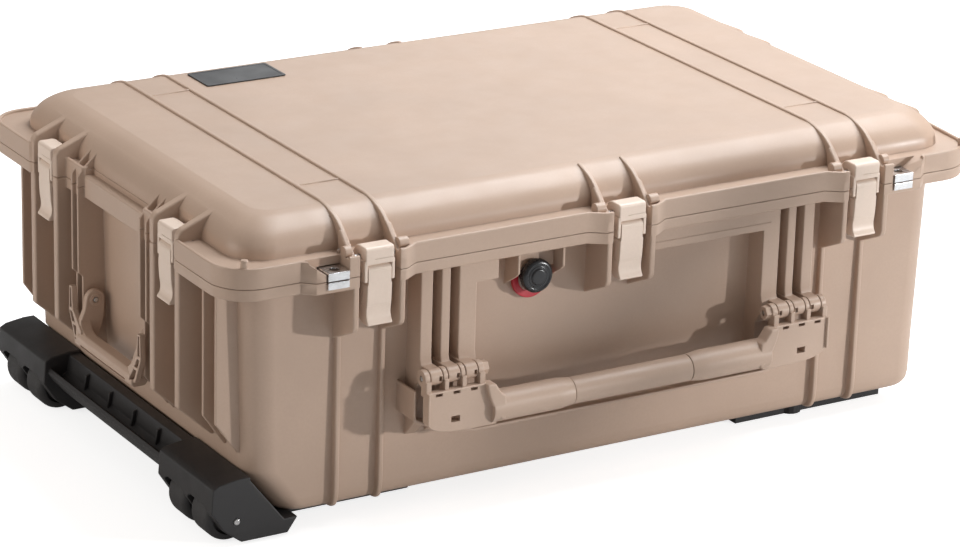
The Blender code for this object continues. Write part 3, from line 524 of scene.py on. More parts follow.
FRONT_FIN = ((ROOT_Y, 0.2471), (-BUMP_Y, 0.2471), (-BUMP_Y, FIN_FOOT + 0.0030), (-0.2598, FIN_FOOT - 0.0010),
             (-0.2570, FIN_FOOT - 0.0035), (-0.2240, 0.1790), (ROOT_Y, 0.1790))
STRAP_FOOT = curve_through(((-0.2290, 0.0320), (-0.2272, 0.0235), (-0.2225, 0.0180), (-0.2150, 0.0162)), 4)
FRONT_STRAP = ([(-0.2180, 0.1900), (-0.2294, 0.1900), (-0.2294, 0.0400)]
               + STRAP_FOOT + [(-0.2040, 0.0162), (-0.2040, 0.0240), (-0.2180, 0.0300)])
BACK_STRAP = [(0.2180, ROOT_TOP), (0.2294, ROOT_TOP)] + [(-y, z) for y, z in FRONT_STRAP[2:]]
STRAP_EXTRA = 0.0004
POST = ((ROOT_Y, ROOT_TOP), (APRON_Y, ROOT_TOP), (APRON_Y, 0.1540), (-0.2500, 0.1480), (-0.2500, 0.1370),
        (-0.2410, 0.1250), (-0.2400, 0.0900), (-0.2240, 0.0740), (ROOT_Y, 0.0740))
VALVE_WEB = ((ROOT_Y, ROOT_TOP), (APRON_Y, ROOT_TOP), (APRON_Y, 0.2180), (-0.2440, 0.2140), (ROOT_Y, 0.1980))
VALVE_WEB_X, VALVE_WEB_HALF = (-0.1110, -0.0640), 0.0012
APRON_SPANS, APRON_LOW = ((0.0310, 0.1600), (-0.1600, -0.1320)), 0.2175
SHELF_UNDER = ((0.1560, 0.0785), (0.1848, 0.0838), (0.2050, 0.0908), (0.2205, 0.0995))
SHELF_UPPER = ((0.2180, 0.1010), (0.2040, 0.0935), (0.1840, 0.0866), (0.1560, 0.0815))
SHELF_Y, SHELF_END_TOP = -0.2560, 0.1280
SIDE_PIN_Y, SIDE_PIN_REACH = 0.0715, 0.0120
BASE_INSIDE = ((UNDERSIDE + 0.0045, 0.3240, 0.3540, 0.2120, 0.018), (0.0300, 0.3350, 0.3610, 0.2180, 0.021),
               (0.0640, 0.3615, 0.3620, 0.2185, 0.021), (0.2600, 0.3660, 0.3660, 0.2210, 0.021))



def base_additions():
    """Everything that stands on the base's walls."""
    out = []
    band = prism("z", BAND_LOW, PART_Z - SPLIT, rim_outline())
    soften(band, ROUND, 3, lambda p: p.z < BAND_LOW + CRISP)
    out.append(soften(band, CRISP, 2, lambda p: p.z > PART_Z - SPLIT - CRISP))
    for centre in FRONT_LATCH_X:
        out += [prism("x", low, high, FRONT_FIN, ROUND, 3) for low, high in fin_spans(centre, FRONT_FIN_OUT)]
        for low, high in fin_spans(centre):
            if abs(centre) > FIN_OUT:
                for strap in (FRONT_STRAP, BACK_STRAP):
                    out.append(prism("x", low - STRAP_EXTRA, high + STRAP_EXTRA, strap, 0.0016, 3))
    for shape in both(end_rib(BUMP_X, END_FIN_FOOT)):
        for centre in END_LATCH_Y:
            out += [prism("y", low, high, shape, WIDE, 3) for low, high in fin_spans(centre, END_FIN_OUT)]
    thin_rib = end_rib(THIN_LOW_X, THIN_FOOT)
    thin_rib[1:2] = [(-THIN_X, 0.2470), (-THIN_X, 0.1640), (-THIN_LOW_X, 0.1600)]
    for shape in both(thin_rib):
        out += [prism("y", y - THIN_HALF, y + THIN_HALF, shape, 0.0008, 3) for y in THIN_Y]
    for y in CORNER_Y:
        rib = end_rib(CORNER_X, END_FIN_FOOT)
        out.append(prism("y", y - CORNER_HALF, y + CORNER_HALF, rib, SOFT, 3))
    return out + handle_mount() + front_details() + back_hinge_base()


def handle_mount():
    """The posts and knuckles that the front handle hangs between."""
    out = []
    for side in (-1, 1):
        out += [prism("x", *span(side, *post), POST, SOFT, 3) for post in POSTS]
        for knuckle in KNUCKLES:
            low, high = span(side, *knuckle)
            out.append(rod("x", low, high, HANDLE.y, HANDLE.z, HANDLE_R, 28, CRISP))
            out.append(box(low, high, HANDLE.y, ROOT_Y, 0.1370, 0.1485, CRISP))
    return out


def front_details():
    """The apron below the rim, the pad and webs at the valve, and the shelf below the handle."""
    out = [box(x0, x1, APRON_Y, ROOT_Y, APRON_LOW, ROOT_TOP, SOFT) for x0, x1 in APRON_SPANS]
    out.append(box(-0.1098, -0.0652, -0.2330, ROOT_Y, 0.2150, ROOT_TOP, SOFT))
    half = curve_through(SHELF_UNDER, 3) + [(0.2205, SHELF_END_TOP), (0.2180, SHELF_END_TOP)]
    half += curve_through(SHELF_UPPER, 3)
    out.append(prism("y", SHELF_Y, ROOT_Y, half + [(-x, z) for x, z in half[::-1]], SOFT, 3))
    return out + [prism("x", x - VALVE_WEB_HALF, x + VALVE_WEB_HALF, VALVE_WEB, 0.0006) for x in VALVE_WEB_X]


def back_hinge_base():
    """The base's knuckles at the back, each on a block."""
    out = []
    for centre in FRONT_LATCH_X:
        for low, high in BASE_KNUCKLES:
            out.append(rod("x", centre + low, centre + high, HINGE.y, HINGE.z, HINGE_R, 28, CRISP))
            out.append(box(centre + low, centre + high, HINGE_ROOT_Y, HINGE.y, BAND_LOW + CRISP,
                           HINGE.z - 0.0010, CRISP))
    return out


def base_cuts():
    """The inside, the latch notches, the pin holes and the small openings in the mouldings."""
    out = [stacked(BASE_INSIDE)]
    for centre in FRONT_LATCH_X:
        out.append(box(*across(centre, FIN_IN), PAST_FRONT, NOTCH_Y, NOTCH_LOW, PAST_RIM))
        out.append(rod("x", *across(centre, LID_KNUCKLE_HALF), HINGE.y, HINGE.z, KNUCKLE_ROOM))
        out.append(rod("x", *across(centre, HINGE_HOLE_HALF), HINGE.y, HINGE.z, BASE_HINGE_HOLE_R))
    for side in (-1, 1):
        for centre in END_LATCH_Y:
            out.append(box(*span(side, NOTCH_X, PAST_END), *across(centre, FIN_IN), NOTCH_LOW, PAST_RIM))
        out.append(rod("z", 0.2300, PAST_RIM, side * LOCK_X, LOCK_Y, LOCK_HOLE_R))
        out.append(box(*across(side * LOCK_X, POCKET_HALF), PAST_FRONT, POCKET_Y, 0.2451, PAST_RIM))
        out.append(box(*span(side, BAY_WALL_X, PAST_END), *across(0, BAY_CUT_HALF), 0.2300, PAST_RIM))
        out.append(rod("x", *span(side, 0.1500, 0.2300), HANDLE.y, HANDLE.z, PIN_HOLE_R))
        for y in (-SIDE_PIN_Y, SIDE_PIN_Y):
            out.append(rod("y", *across(y, SIDE_PIN_REACH), side * SIDE.x, SIDE.z, PIN_HOLE_R))
        for inner, _ in KNUCKLES:
            low, high = span(side, inner + 0.0008, inner + 0.0038)
            out.append(box(low, high, PAST_FRONT, HANDLE.y - 0.0020, 0.1385, 0.1430))
    out.append(rod("y", -0.2600, -0.2000, VALVE_X, VALVE_Z, 0.0086))
    out.append(rod("y", -0.2700, -0.2262, VALVE_X, VALVE_Z, 0.0130, 40))
    out.append(box(0.0290, 0.1620, -0.2520, -0.2481, 0.2247, 0.2253))
    return out


def base_shell():
    body = stacked(curve_through(BASE_TABLE, 4) + list(BASE_STRAIGHT))
    body = boolean(body, "UNION", base_additions())
    piece("base_moulding", boolean(body, "DIFFERENCE", base_cuts()), TAN_SHELL, "base", "tan_shell",
          "base_shell")


# ---- Lid shell ----
STRAP_CURVE = curve_through(((-0.2340, 0.2815), (-0.2225, 0.2895), (-0.2060, 0.2955), (-0.1900, RIB_TOP)), 5)
LID_LOW = PART_Z + SPLIT
STRAP_FRONT = [(-BUMP_Y, LID_LOW), (-BUMP_Y, 0.2548), (-0.2600, 0.2572)] + STRAP_CURVE
STRAP_BACK = ([(-y, z) for y, z in STRAP_CURVE[::-1]][:-1]
              + [(0.2340, 0.2790), (0.2500, 0.2620), (0.2500, LID_LOW)])
END_FIN = [(-0.3700, LID_LOW), (-BUMP_X, LID_LOW), (-BUMP_X, 0.2700), (-0.3985, 0.2748), (-0.3640, 0.2893),
           (-0.3500, 0.2893)]
END_THIN = [(-0.3700, LID_LOW), (-THIN_X, LID_LOW), (-THIN_X, 0.2575), (-0.3900, 0.2650), (-0.3660, 0.2880),
            (-0.3500, 0.2880)]
# The guard fins and the middle pair of ribs leave out this many of the strap's last points.
GUARD_SHORT, MID_SHORT = 14, 4
LATCH_FIN = [(-0.2300, LID_LOW)] + STRAP_FRONT[:-GUARD_SHORT] + [(-0.2300, 0.2790)]
MID_FRONT = STRAP_FRONT[:-MID_SHORT] + [(-0.2060, LID_LOW)]
MID_BACK = [(0.2060, LID_LOW)] + STRAP_BACK[MID_SHORT:]
BOSS_R, BOSS_IN, BOSS_OUT, BOSS_RISE = 0.0054, FIN_OUT - 0.0010, FIN_OUT + 0.0090, 0.0062
CROSS_RIB_Y, CROSS_RIB_HALF = 0.1470, 0.0011
LID_INSIDE = ((ROOT_TOP, 0.3660, 0.2210, 0.021), (0.2740, 0.3660, 0.2210, 0.021),
              (0.2810, 0.3630, 0.2175, 0.020), (0.2870, 0.3560, 0.2100, 0.020),
              (0.2915, 0.3440, 0.1980, 0.020))
LOCK_NOTCH_TOP = 0.2800
LOCK_NOTCH = ((LOCK_X - NOTCH_HALF, LOCK_NOTCH_TOP), (LOCK_X - NOTCH_HALF, 0.2538),
              (LOCK_X + NOTCH_HALF, 0.2538), (LOCK_X + 0.0260, 0.2640), (LOCK_X + 0.0300, LOCK_NOTCH_TOP))
SEAL_GROOVE_HALF, SEAL_GROOVE_DEPTH = 0.0030, 0.0052


def lid_additions():
    """The flange with its lip, the ribs over the top, the latch fins and the hinge knuckles."""
    outline = rim_outline()
    flange = prism("z", LID_LOW, FLANGE_TOP - 0.0008, outline)
    lip_inner = inset(outline, LIP_WIDTH)
    lip = hoop([[(*a, FLANGE_TOP - 0.0060), (*a, LIP_TOP), (*b, LIP_TOP), (*b, FLANGE_TOP - 0.0060)]
                for a, b in zip(outline, lip_inner)])
    out = [soften(flange, CRISP, 2, lambda p: p.z < LID_LOW + CRISP),
           soften(lip, 0.0011, 3, lambda p: p.z > LIP_TOP - CRISP)]
    for centre in FRONT_LATCH_X:
        for low, high in fin_spans(centre):
            if abs(centre) > FIN_OUT:
                out.append(prism("x", low, high, STRAP_FRONT + STRAP_BACK, SOFT, 3))
            else:
                out += [prism("x", low, high, outline, SOFT, 3) for outline in (MID_FRONT, MID_BACK)]
        out += [prism("x", low, high, LATCH_FIN, ROUND, 3) for low, high in fin_spans(centre, FRONT_FIN_OUT)]
        for side in (-1, 1):
            low, high = sorted((centre + side * BOSS_IN, centre + side * BOSS_OUT))
            out.append(rod("x", low, high, FRONT_PIN_Y, LATCH_PIN[1] + BOSS_RISE, BOSS_R, 28, CRISP))
        low, high = across(centre, LID_KNUCKLE_HALF)
        out.append(rod("x", low, high, HINGE.y, HINGE.z, HINGE_R, 28, CRISP))
        out.append(box(low, high, HINGE_ROOT_Y, HINGE.y, HINGE.z + 0.0010, 0.2600, CRISP))
        if abs(centre) > FIN_OUT:
            for y in (-CROSS_RIB_Y, CROSS_RIB_Y):
                out.append(box(*across(centre, FIN_IN + 0.0010), *across(y, CROSS_RIB_HALF),
                               LID_TOP - 0.0020, LID_TOP + 0.0012, 0.0006))
    for shape in both(END_FIN):
        for centre in END_LATCH_Y:
            out += [prism("y", low, high, shape, WIDE, 3) for low, high in fin_spans(centre, END_FIN_OUT)]
    for shape in both(END_THIN):
        out += [prism("y", y - THIN_HALF, y + THIN_HALF, shape, 0.0008, 3) for y in THIN_Y]
    for side in (-1, 1):
        x0, x1 = span(side, 0.3770, 0.3905)
        out.append(box(x0, x1, -BAY_BAR_HALF, BAY_BAR_HALF, BAY_BAR_LOW, BAY_BAR_TOP, 0.0012))
        out.append(rod("z", 0.2600, 0.2735, side * 0.3835, -0.2425, 0.0036, 20, 0.0012))
    return out


def lid_cuts():
    """The inside, the latch notches, the pin holes, the padlock pockets and the seal's groove."""
    out = [stacked([(z, half, half, w, r) for z, half, w, r in LID_INSIDE])]
    for centre in FRONT_LATCH_X:
        out.append(box(*across(centre, FIN_IN), PAST_FRONT, NOTCH_Y, ROOT_TOP, NOTCH_TOP))
        out.append(rod("x", *across(centre, 0.0272), FRONT_PIN_Y, LATCH_PIN[1], PIN_HOLE_R))
        for low, high in ((-0.0188, -0.0057), (0.0057, 0.0188)):
            out.append(rod("x", centre + low, centre + high, HINGE.y, HINGE.z, KNUCKLE_ROOM))
        out.append(rod("x", *across(centre, HINGE_HOLE_HALF), HINGE.y, HINGE.z, LID_HINGE_HOLE_R))
    for side in (-1, 1):
        for centre in END_LATCH_Y:
            out.append(box(*span(side, NOTCH_X, PAST_END), *across(centre, FIN_IN), ROOT_TOP, NOTCH_TOP))
            out.append(rod("y", *across(centre, 0.0300), side * (END_FACE_X + LATCH_PIN[0]),
                           LATCH_PIN[1], PIN_HOLE_R))
        out.append(rod("z", ROOT_TOP, 0.2700, side * LOCK_X, LOCK_Y, LOCK_HOLE_R))
        out.append(prism("y", PAST_FRONT, POCKET_Y, [(side * x, z) for x, z in LOCK_NOTCH]))
        out.append(box(*across(side * LOCK_X, POCKET_HALF), PAST_FRONT, POCKET_Y, ROOT_TOP, 0.2560))
        out.append(box(*span(side, DOME_X + 0.0005, PAST_END), *across(0, BAY_CUT_HALF), BAY_BAR_TOP, 0.2750))
    inner, outer = [rounded(SEAL_X + d, SEAL_X + d, SEAL_Y + d, SEAL_R + d)
                    for d in (-SEAL_GROOVE_HALF, SEAL_GROOVE_HALF)]
    top = LID_LOW + SEAL_GROOVE_DEPTH
    out.append(hoop([[(*a, 0.2440), (*b, 0.2440), (*b, top), (*a, top)] for a, b in zip(inner, outer)]))
    return out


def lid_shell():
    rings = []
    for z, d in curve_through(DOME_TABLE, 4):
        rings.append((z, DOME_X - d, DOME_X - d, DOME_Y - d, max(DOME_R - 0.35 * d, 0.020)))
    dome = boolean(stacked(rings), "UNION", lid_additions())
    piece("lid_moulding", boolean(dome, "DIFFERENCE", lid_cuts()), TAN_SHELL, "lid", "tan_shell", "lid_shell")


def blank_plate():
    """The black plate on the lid, with a shallow recess and nothing written on it."""
    low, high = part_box("name_plate")
    low, high = low - CENTRE, high - CENTRE
    mid, half = (low + high) / 2, (high - low) / 2

    def corners(less, radius):
        points = rounded(half.x - less, half.x - less, half.y - less, radius, 6)
        return [(x + mid.x, y + mid.y) for x, y in points]

    plate = prism("z", low.z, high.z, corners(0, 0.0025), 0.0003)
    recess = prism("z", high.z - 0.0002, high.z + 0.0010, corners(0.0030, 0.0015))
    plate = boolean(plate, "DIFFERENCE", [recess])
    piece("blank_plate", plate, LABEL_BLACK, "lid", "black_label", "name_plate")


# ---- Latches ----
LEVER_FACE = curve_through(((-0.0003, 0.2378), (-0.0004, 0.2300), (-0.0010, 0.2200), (-0.0021, 0.2115),
                            (-0.0012, 0.2058), (0.0009, 0.2027)), 4)
LEVER_BODY = LEVER_FACE + [(0.0014, 0.2014), (0.0008, 0.2002), (-0.0090, 0.2002), (-0.0205, 0.2060),
                           (-0.0212, 0.2270), (-0.0222, 0.2290), (-0.0222, 0.2320), (-0.0195, 0.2378)]
LEVER_HEAD = (arc(LEVER_PIN[0], LEVER_PIN[1], 0.0057, 0, 180, 14)
              + [(-0.0118, 0.2370), (-0.0003, 0.2370)])
LATCH_CAP = ([(-0.0004, 0.2558)] + arc(-0.0036, 0.2684, 0.0032, 0, 90, 5) + [(-0.0110, 0.2716)]
             + arc(LATCH_PIN[0], LATCH_PIN[1], 0.0108, 96, 200, 10) + [(-0.0222, 0.2558)])
HEAD_GRIP_R = 0.0056
EAR = ((-0.0008, 0.2402), (-0.0008, 0.2596), (-0.0190, 0.2596), (-0.0200, 0.2470), (-0.0150, 0.2402))


def latch_block(low, high, outline, width=0.0, segments=2):
    """An outline of (outward, up) points carried across the latch, which here faces -Y at the origin."""
    return prism("x", low, high, [(-out, z) for out, z in outline], width, segments)


def latch_body():
    shape = latch_block(-0.0140, 0.0140, LATCH_CAP, 0.0010, 3)
    extra = [latch_block(*span(side, 0.0119, 0.0150), EAR, 0.0007, 3) for side in (-1, 1)]
    shape = boolean(shape, "UNION", extra)
    cuts = [rod("x", -0.0200, 0.0200, -LATCH_PIN[0], LATCH_PIN[1], PIN_HOLE_R),
            rod("x", -0.0200, 0.0200, -LEVER_PIN[0], LEVER_PIN[1], 0.0026),
            box(-0.0050, 0.0150, -0.0030, 0.0009, 0.2606, 0.2611)]
    return boolean(shape, "DIFFERENCE", cuts)


def latch_lever():
    shape = latch_block(-0.0114, 0.0114, LEVER_HEAD, 0.0004)
    ribs = [rod("x", -0.0092, 0.0092, -LEVER_PIN[0] - HEAD_GRIP_R * math.cos(t),
                LEVER_PIN[1] + HEAD_GRIP_R * math.sin(t), 0.00030, 10) for t in (-0.5, -0.25, 0.0, 0.25, 0.5)]
    extra = [latch_block(-0.0122, 0.0122, LEVER_BODY, 0.0008, 3),
             rod("x", -0.0146, 0.0146, -LEVER_PIN[0], LEVER_PIN[1], 0.0021)]
    shape = boolean(shape, "UNION", extra + ribs)
    seam = [box(x0, x1, -0.0030, depth, 0.2177, 0.2181) for x0, x1, depth in
            ((-0.0130, 0.0130, 0.0014), (-0.0130, -0.0119, 0.0230), (0.0119, 0.0130, 0.0230))]
    return boolean(shape, "DIFFERENCE", seam)


def latch_spots():
    """Each latch's name, face centre and the turn that points it outwards."""
    for tag, x in zip(("left", "mid", "right"), FRONT_LATCH_X):
        yield "front_" + tag, (x, -BUMP_Y), 0
    for end, x, turn in (("left", -END_FACE_X, -90), ("right", END_FACE_X, 90)):
        for tag, y in zip(("front", "rear"), END_LATCH_Y):
            yield f"{end}_{tag}", (x, y), turn


def latches():
    body, lever = latch_body(), latch_lever()
    for tag, (x, y), turn in latch_spots():
        matrix = Matrix.Translation((x, y, 0)) @ Matrix.Rotation(math.radians(turn), 4, "Z")
        for kind, source, rides in (("body", body, "latch_"), ("lever", lever, "lever_")):
            mesh = source.copy()
            mesh.transform(matrix)
            piece(f"latch_{kind}_{tag}_moulding", mesh, TAN_LATCH, rides + tag, "tan_latch",
                  f"latch_{kind}_{tag}")


# ---- Carrying handles ----
GRIP_HALF = ((0.0640, 0.0110), (0.0640, 0.0126), (0.0700, 0.0133), (0.0760, 0.0141), (0.0820, GRIP_END_R),
             (0.1500, GRIP_END_R))
SLEEVE = ((0.0114, -0.0634), (0.0120, -0.0634), (0.0124, -0.0630), (0.0124, 0.0630), (0.0120, 0.0634),
          (0.0114, 0.0634))
HANDLE_PLATE_TOP = 0.1300
HANDLE_PLATE = ([(0.2165, HANDLE_PLATE_TOP)]
                + curve_through(((0.2165, 0.1050), (0.2145, 0.0985), (0.2080, 0.0938), (0.1950, 0.0905),
                                 (0.1700, 0.0893)), 4)
                + [(0.1440, 0.0893), (0.1440, 0.1180), (0.1530, HANDLE_PLATE_TOP)])
HANDLE_LIP = (curve_through(((0.1575, HANDLE_PLATE_TOP), (0.1556, 0.1200), (0.1515, 0.1100), (0.1462, 0.1010),
                             (0.1420, 0.0950)), 4)
              + [(0.1380, 0.0930), (0.1380, 0.1175), (0.1420, 0.1195), (0.1490, HANDLE_PLATE_TOP)])
HANDLE_EDGE = ((0.2145, HANDLE_PLATE_TOP), (0.2165, HANDLE_PLATE_TOP), (0.2165, 0.1010), (0.2145, 0.0995))
HANDLE_LIP_Y, HANDLE_EDGE_Y = -0.2778, -0.2745
EYE_X, EYE_HALF = 0.1871, 0.0045


def front_handle():
    """The folded handle: a thick-ended bar between two plates, with a sleeve round its middle."""
    shape = turned("x", GRIP_Y, GRIP_Z, [(-x, r) for x, r in GRIP_HALF[::-1]] + list(GRIP_HALF), 40)
    extra, cuts = [], []
    for side in (-1, 1):
        for outline, face, width, steps in ((HANDLE_PLATE, PLATE_FACE, SOFT, 3),
                                            (HANDLE_LIP, HANDLE_LIP_Y, WIDE, 3),
                                            (HANDLE_EDGE, HANDLE_EDGE_Y, 0.0006, 2)):
            extra.append(prism("y", face, PLATE_BACK, [(side * x, z) for x, z in outline], width, steps))
        for ends in HANDLE_KNUCKLES:
            low, high = span(side, *ends)
            extra.append(rod("x", low, high, HANDLE.y, HANDLE.z, HANDLE_R, 28, CRISP))
            extra.append(box(low, high, -0.2700, HANDLE.y, 0.1250, HANDLE.z - 0.0010, CRISP))
        extra.append(rod("x", *span(side, 0.1500, 0.1565), HANDLE.y, HANDLE.z, 0.0068, 6, CRISP))
        cuts.append(rod("x", *span(side, 0.1480, 0.2180), HANDLE.y, HANDLE.z, PIN_HOLE_R))
        cuts.append(box(*across(side * EYE_X, EYE_HALF), PAST_FRONT, -0.2600, 0.0990, 0.1048))
        for ends in KNUCKLES:
            low, high = span(side, *ends)
            cuts.append(box(low + 0.0025, high - 0.0025, PAST_FRONT, -0.2600, 0.1258, 0.1285))
    shape = boolean(boolean(shape, "UNION", extra), "DIFFERENCE", cuts)
    piece("front_handle_moulding", shape, TAN_HANDLE, "front_handle", "tan_handle", "front_handle")
    piece("front_grip_moulding", turned_ring("x", GRIP_Y, GRIP_Z, SLEEVE, 44), TAN_HANDLE, "front_handle",
          "tan_handle", "front_handle_grip")


SIDE_ARM = (arc(SIDE.x, SIDE.z, SIDE_R, 0, 180, 18)
            + curve_through(((0.3740, 0.1300), (0.3756, 0.1180), (0.3800, 0.1060), (0.3880, 0.0950)), 4)
            + [(0.3990, 0.0945), (0.4015, 0.0985), (0.4015, 0.1080), (0.3985, 0.1200), (0.3945, 0.1300)])
SIDE_BAR = ((0.3880, 0.0950), (0.4000, 0.0950), (0.4025, 0.0975), (0.4025, 0.1060), (0.3990, 0.1095),
            (0.3890, 0.1095), (0.3866, 0.1060))
SIDE_CORNER_R = 0.0120
SIDE_CORNER = [(0.0545, 0.1085)] + arc(ARM_IN - SIDE_CORNER_R, 0.1213, SIDE_CORNER_R, 0, -90, 10)
LADDER = ((0.0480, 0.0955), (0.0640, 0.1010), (0.0755, 0.1260), (0.0742, 0.1500), (0.0685, 0.1500),
          (0.0672, 0.1280), (0.0500, 0.1120))
LADDER_WINDOWS = (((0.0555, 0.1015), (0.0622, 0.1038), (0.0668, 0.1135), (0.0605, 0.1135)),
                  ((0.0625, 0.1163), (0.0688, 0.1163), (0.0731, 0.1255), (0.0682, 0.1255)),
                  ((0.0692, 0.1288), (0.0735, 0.1288), (0.0727, 0.1483), (0.0702, 0.1483)))


def side_handle(tag, side):
    """A folded end handle: a bar and two arms, with an open ladder at each outer corner."""
    shape = prism("y", -ARM_OUT, ARM_OUT, [(side * x, z) for x, z in SIDE_BAR], 0.0012, 3)
    extra, cuts = [], [box(*span(side, 0.4000, 0.4060), -0.0470, 0.0470, 0.0980, 0.0998)]
    for mirror in (-1, 1):
        arm = [(side * x, z) for x, z in SIDE_ARM]
        extra.append(prism("y", *span(mirror, ARM_IN, ARM_OUT), arm, 0.0012, 3))
        corner = [(mirror * y, z) for y, z in SIDE_CORNER]
        extra.append(prism("x", *span(side, 0.3885, 0.3985), corner))
        extra.append(rod("y", *span(mirror, ARM_IN - 0.0006, ARM_IN + 0.0010), side * SIDE.x, SIDE.z,
                         0.0060, 24, 0.0003))
        ladder = [(mirror * y, z) for y, z in LADDER]
        extra.append(prism("x", *span(side, 0.3950, 0.4005), ladder, 0.0006))
        cuts.append(rod("y", *span(mirror, 0.0500, 0.0650), side * SIDE.x, SIDE.z, PIN_HOLE_R))
        for window in LADDER_WINDOWS:
            cuts.append(prism("x", *span(side, 0.3900, 0.4100), [(mirror * y, z) for y, z in window]))
    shape = boolean(boolean(shape, "UNION", extra), "DIFFERENCE", cuts)
    piece(f"side_handle_{tag}_moulding", shape, TAN_HANDLE, "side_handle_" + tag, "tan_handle",
          "side_handle_" + tag)


# ---- Wheel carriage and wheels ----
HOUSING = ((-0.4044, 0.0572), (-0.3980, 0.0606), (-0.3790, 0.0635), (-0.3675, 0.0635), (-0.3675, 0.0600),
           (-0.3425, 0.0285), (-0.3335, 0.0171), (-0.3200, 0.0171), (-0.3300, 0.0030), (-0.3760, 0.0030),
           (-0.3934, 0.0160), (-0.4060, 0.0352))
BEAM = ((-0.3790, 0.0605), (-0.3680, 0.0605), (-0.3433, 0.0290), (-0.3400, 0.0180), (-0.3600, 0.0180),
        (-0.3850, 0.0240), (-0.3990, 0.0400), (-0.4020, 0.0460), (-0.3990, 0.0500), (-0.3950, 0.0460),
        (-0.3880, 0.0400), (-0.3820, 0.0440))


GUSSET = ((-0.3780, 0.0420), (-0.3860, 0.0420), (-0.3840, 0.0560), (-0.3780, 0.0580))
GUSSET_Y, GUSSET_HALF = (-0.0750, -0.0250, 0.0250, 0.0750), 0.0012
BELOW_FLOOR = -0.0100
WELL_GAP, ARCH_R, ARCH_RISE = 0.0022, 0.0090, 0.0155


def wheel_carriage():
    shape = prism("y", -0.1250, 0.1250, BEAM, 0.0008)
    extra, cuts = [], []
    for side in (-1, 1):
        extra.append(prism("y", *span(side, 0.1210, 0.2265), HOUSING, 0.0012, 3))
        extra.append(box(-0.3400, -0.1850, *span(side, 0.1650, 0.1880), 0.0030, 0.0171, SOFT))
        for inner, outer in WHEEL_SPANS:
            low, high = span(side, inner - WELL_GAP, outer + WELL_GAP)
            cuts.append(rod("y", low, high, WHEEL.x, WHEEL.z, WELL_R, 40))
            cuts.append(box(*across(WHEEL.x, WELL_R), low, high, BELOW_FLOOR, WHEEL.z))
            height = WHEEL.z + ARCH_RISE - ARCH_R
            arch = [(low, BELOW_FLOOR), (high, BELOW_FLOOR)] + arc(high - ARCH_R, height, ARCH_R, 0, 90, 8)
            arch += arc(low + ARCH_R, height, ARCH_R, 90, 180, 8)
            cuts.append(prism("x", -PAST_END, WHEEL.x, arch))
        cuts.append(rod("y", *span(side, 0.1235, 0.2300), WHEEL.x, WHEEL.z, AXLE_HOLE_R))
    extra += [prism("y", *across(y, GUSSET_HALF), GUSSET, 0.0004) for y in GUSSET_Y]
    shape = boolean(shape, "UNION", extra)
    piece("wheel_carriage_moulding", boolean(shape, "DIFFERENCE", cuts), BLACK_TEXTURED, "base",
          "black_plastic", "wheel_carriage")


HUB_STEPS = [(0.0036, 0.0), (0.0100, 0.0), (0.0112, 0.0012), (0.0118, 0.0050), (0.0160, 0.0050),
             (0.0168, 0.0014)]
SHOULDER = 0.0070
WHEEL_HALF = HUB_STEPS + [(WHEEL_R - SHOULDER + a, SHOULDER - b) for a, b in arc(0, 0, SHOULDER, 90, 0, 8)]


def wheels():
    for row, side in (("front", -1), ("rear", 1)):
        for tag, ends in zip(("inner", "outer"), WHEEL_SPANS):
            low, high = span(side, *ends)
            profile = [(r, low + depth) for r, depth in WHEEL_HALF]
            profile += [(r, high - depth) for r, depth in WHEEL_HALF[::-1]]
            piece(f"wheel_{row}_{tag}_tyre", turned_ring("y", WHEEL.x, WHEEL.z, profile, 56), WHEEL_RUBBER,
                  f"wheel_{row}_{tag}", "wheel_rubber", f"wheel_{row}_{tag}")


# ---- Valve and padlock plates ----
CAP_FACE = -0.2435
CAP = ((-0.2100, 0.0080), (-0.2288, 0.0080), (-0.2288, 0.0120), (-0.2360, 0.0120), (-0.2364, 0.0150),
       (-0.2370, 0.0158), (-0.2408, 0.0158), (-0.2424, 0.0150), (-0.2432, 0.0138), (CAP_FACE, 0.0125),
       (-0.2429, 0.0118), (-0.2429, 0.0102), (CAP_FACE, 0.0095), (CAP_FACE, 0.0080), (-0.2445, 0.0074),
       (-0.2450, 0.0060), (-0.2446, 0.0030))
CAP_NOTCHES, CAP_NOTCH_AT, CAP_NOTCH_R = 18, 0.0166, 0.0012
RED_RING = ((0.0130, -0.2268), (0.0190, -0.2268), (0.0195, -0.2273), (0.0195, -0.2296), (0.0190, -0.2302),
            (0.0175, -0.2302), (0.0130, -0.2296))
RED_RING_DROP = 0.0045


def valve():
    """The knurled cap, and the red ring that shows below it."""
    body = turned("y", VALVE_X, VALVE_Z, CAP, 56)
    notches = []
    for i in range(CAP_NOTCHES):
        t = 2 * math.pi * i / CAP_NOTCHES
        notches.append(rod("y", -0.2415, -0.2362, VALVE_X + CAP_NOTCH_AT * math.cos(t),
                           VALVE_Z + CAP_NOTCH_AT * math.sin(t), CAP_NOTCH_R, 12))
    piece("valve_cap", boolean(body, "DIFFERENCE", notches), BLACK_GLOSS, "base", "black_gloss", "valve_body")
    ring = turned_ring("y", VALVE_X, VALVE_Z - RED_RING_DROP, RED_RING)
    piece("valve_red_ring", ring, RED_RUBBER, "base", "red_rubber", "valve_seal")


# Each plate's level, body, and the heights of its flat leaf and its upright one.
LEAVES = (("upper", "lid", (0.2541, 0.2555), (0.2480, 0.2555)),
          ("lower", "base", (0.2454, 0.2468), (0.2402, 0.2468)))


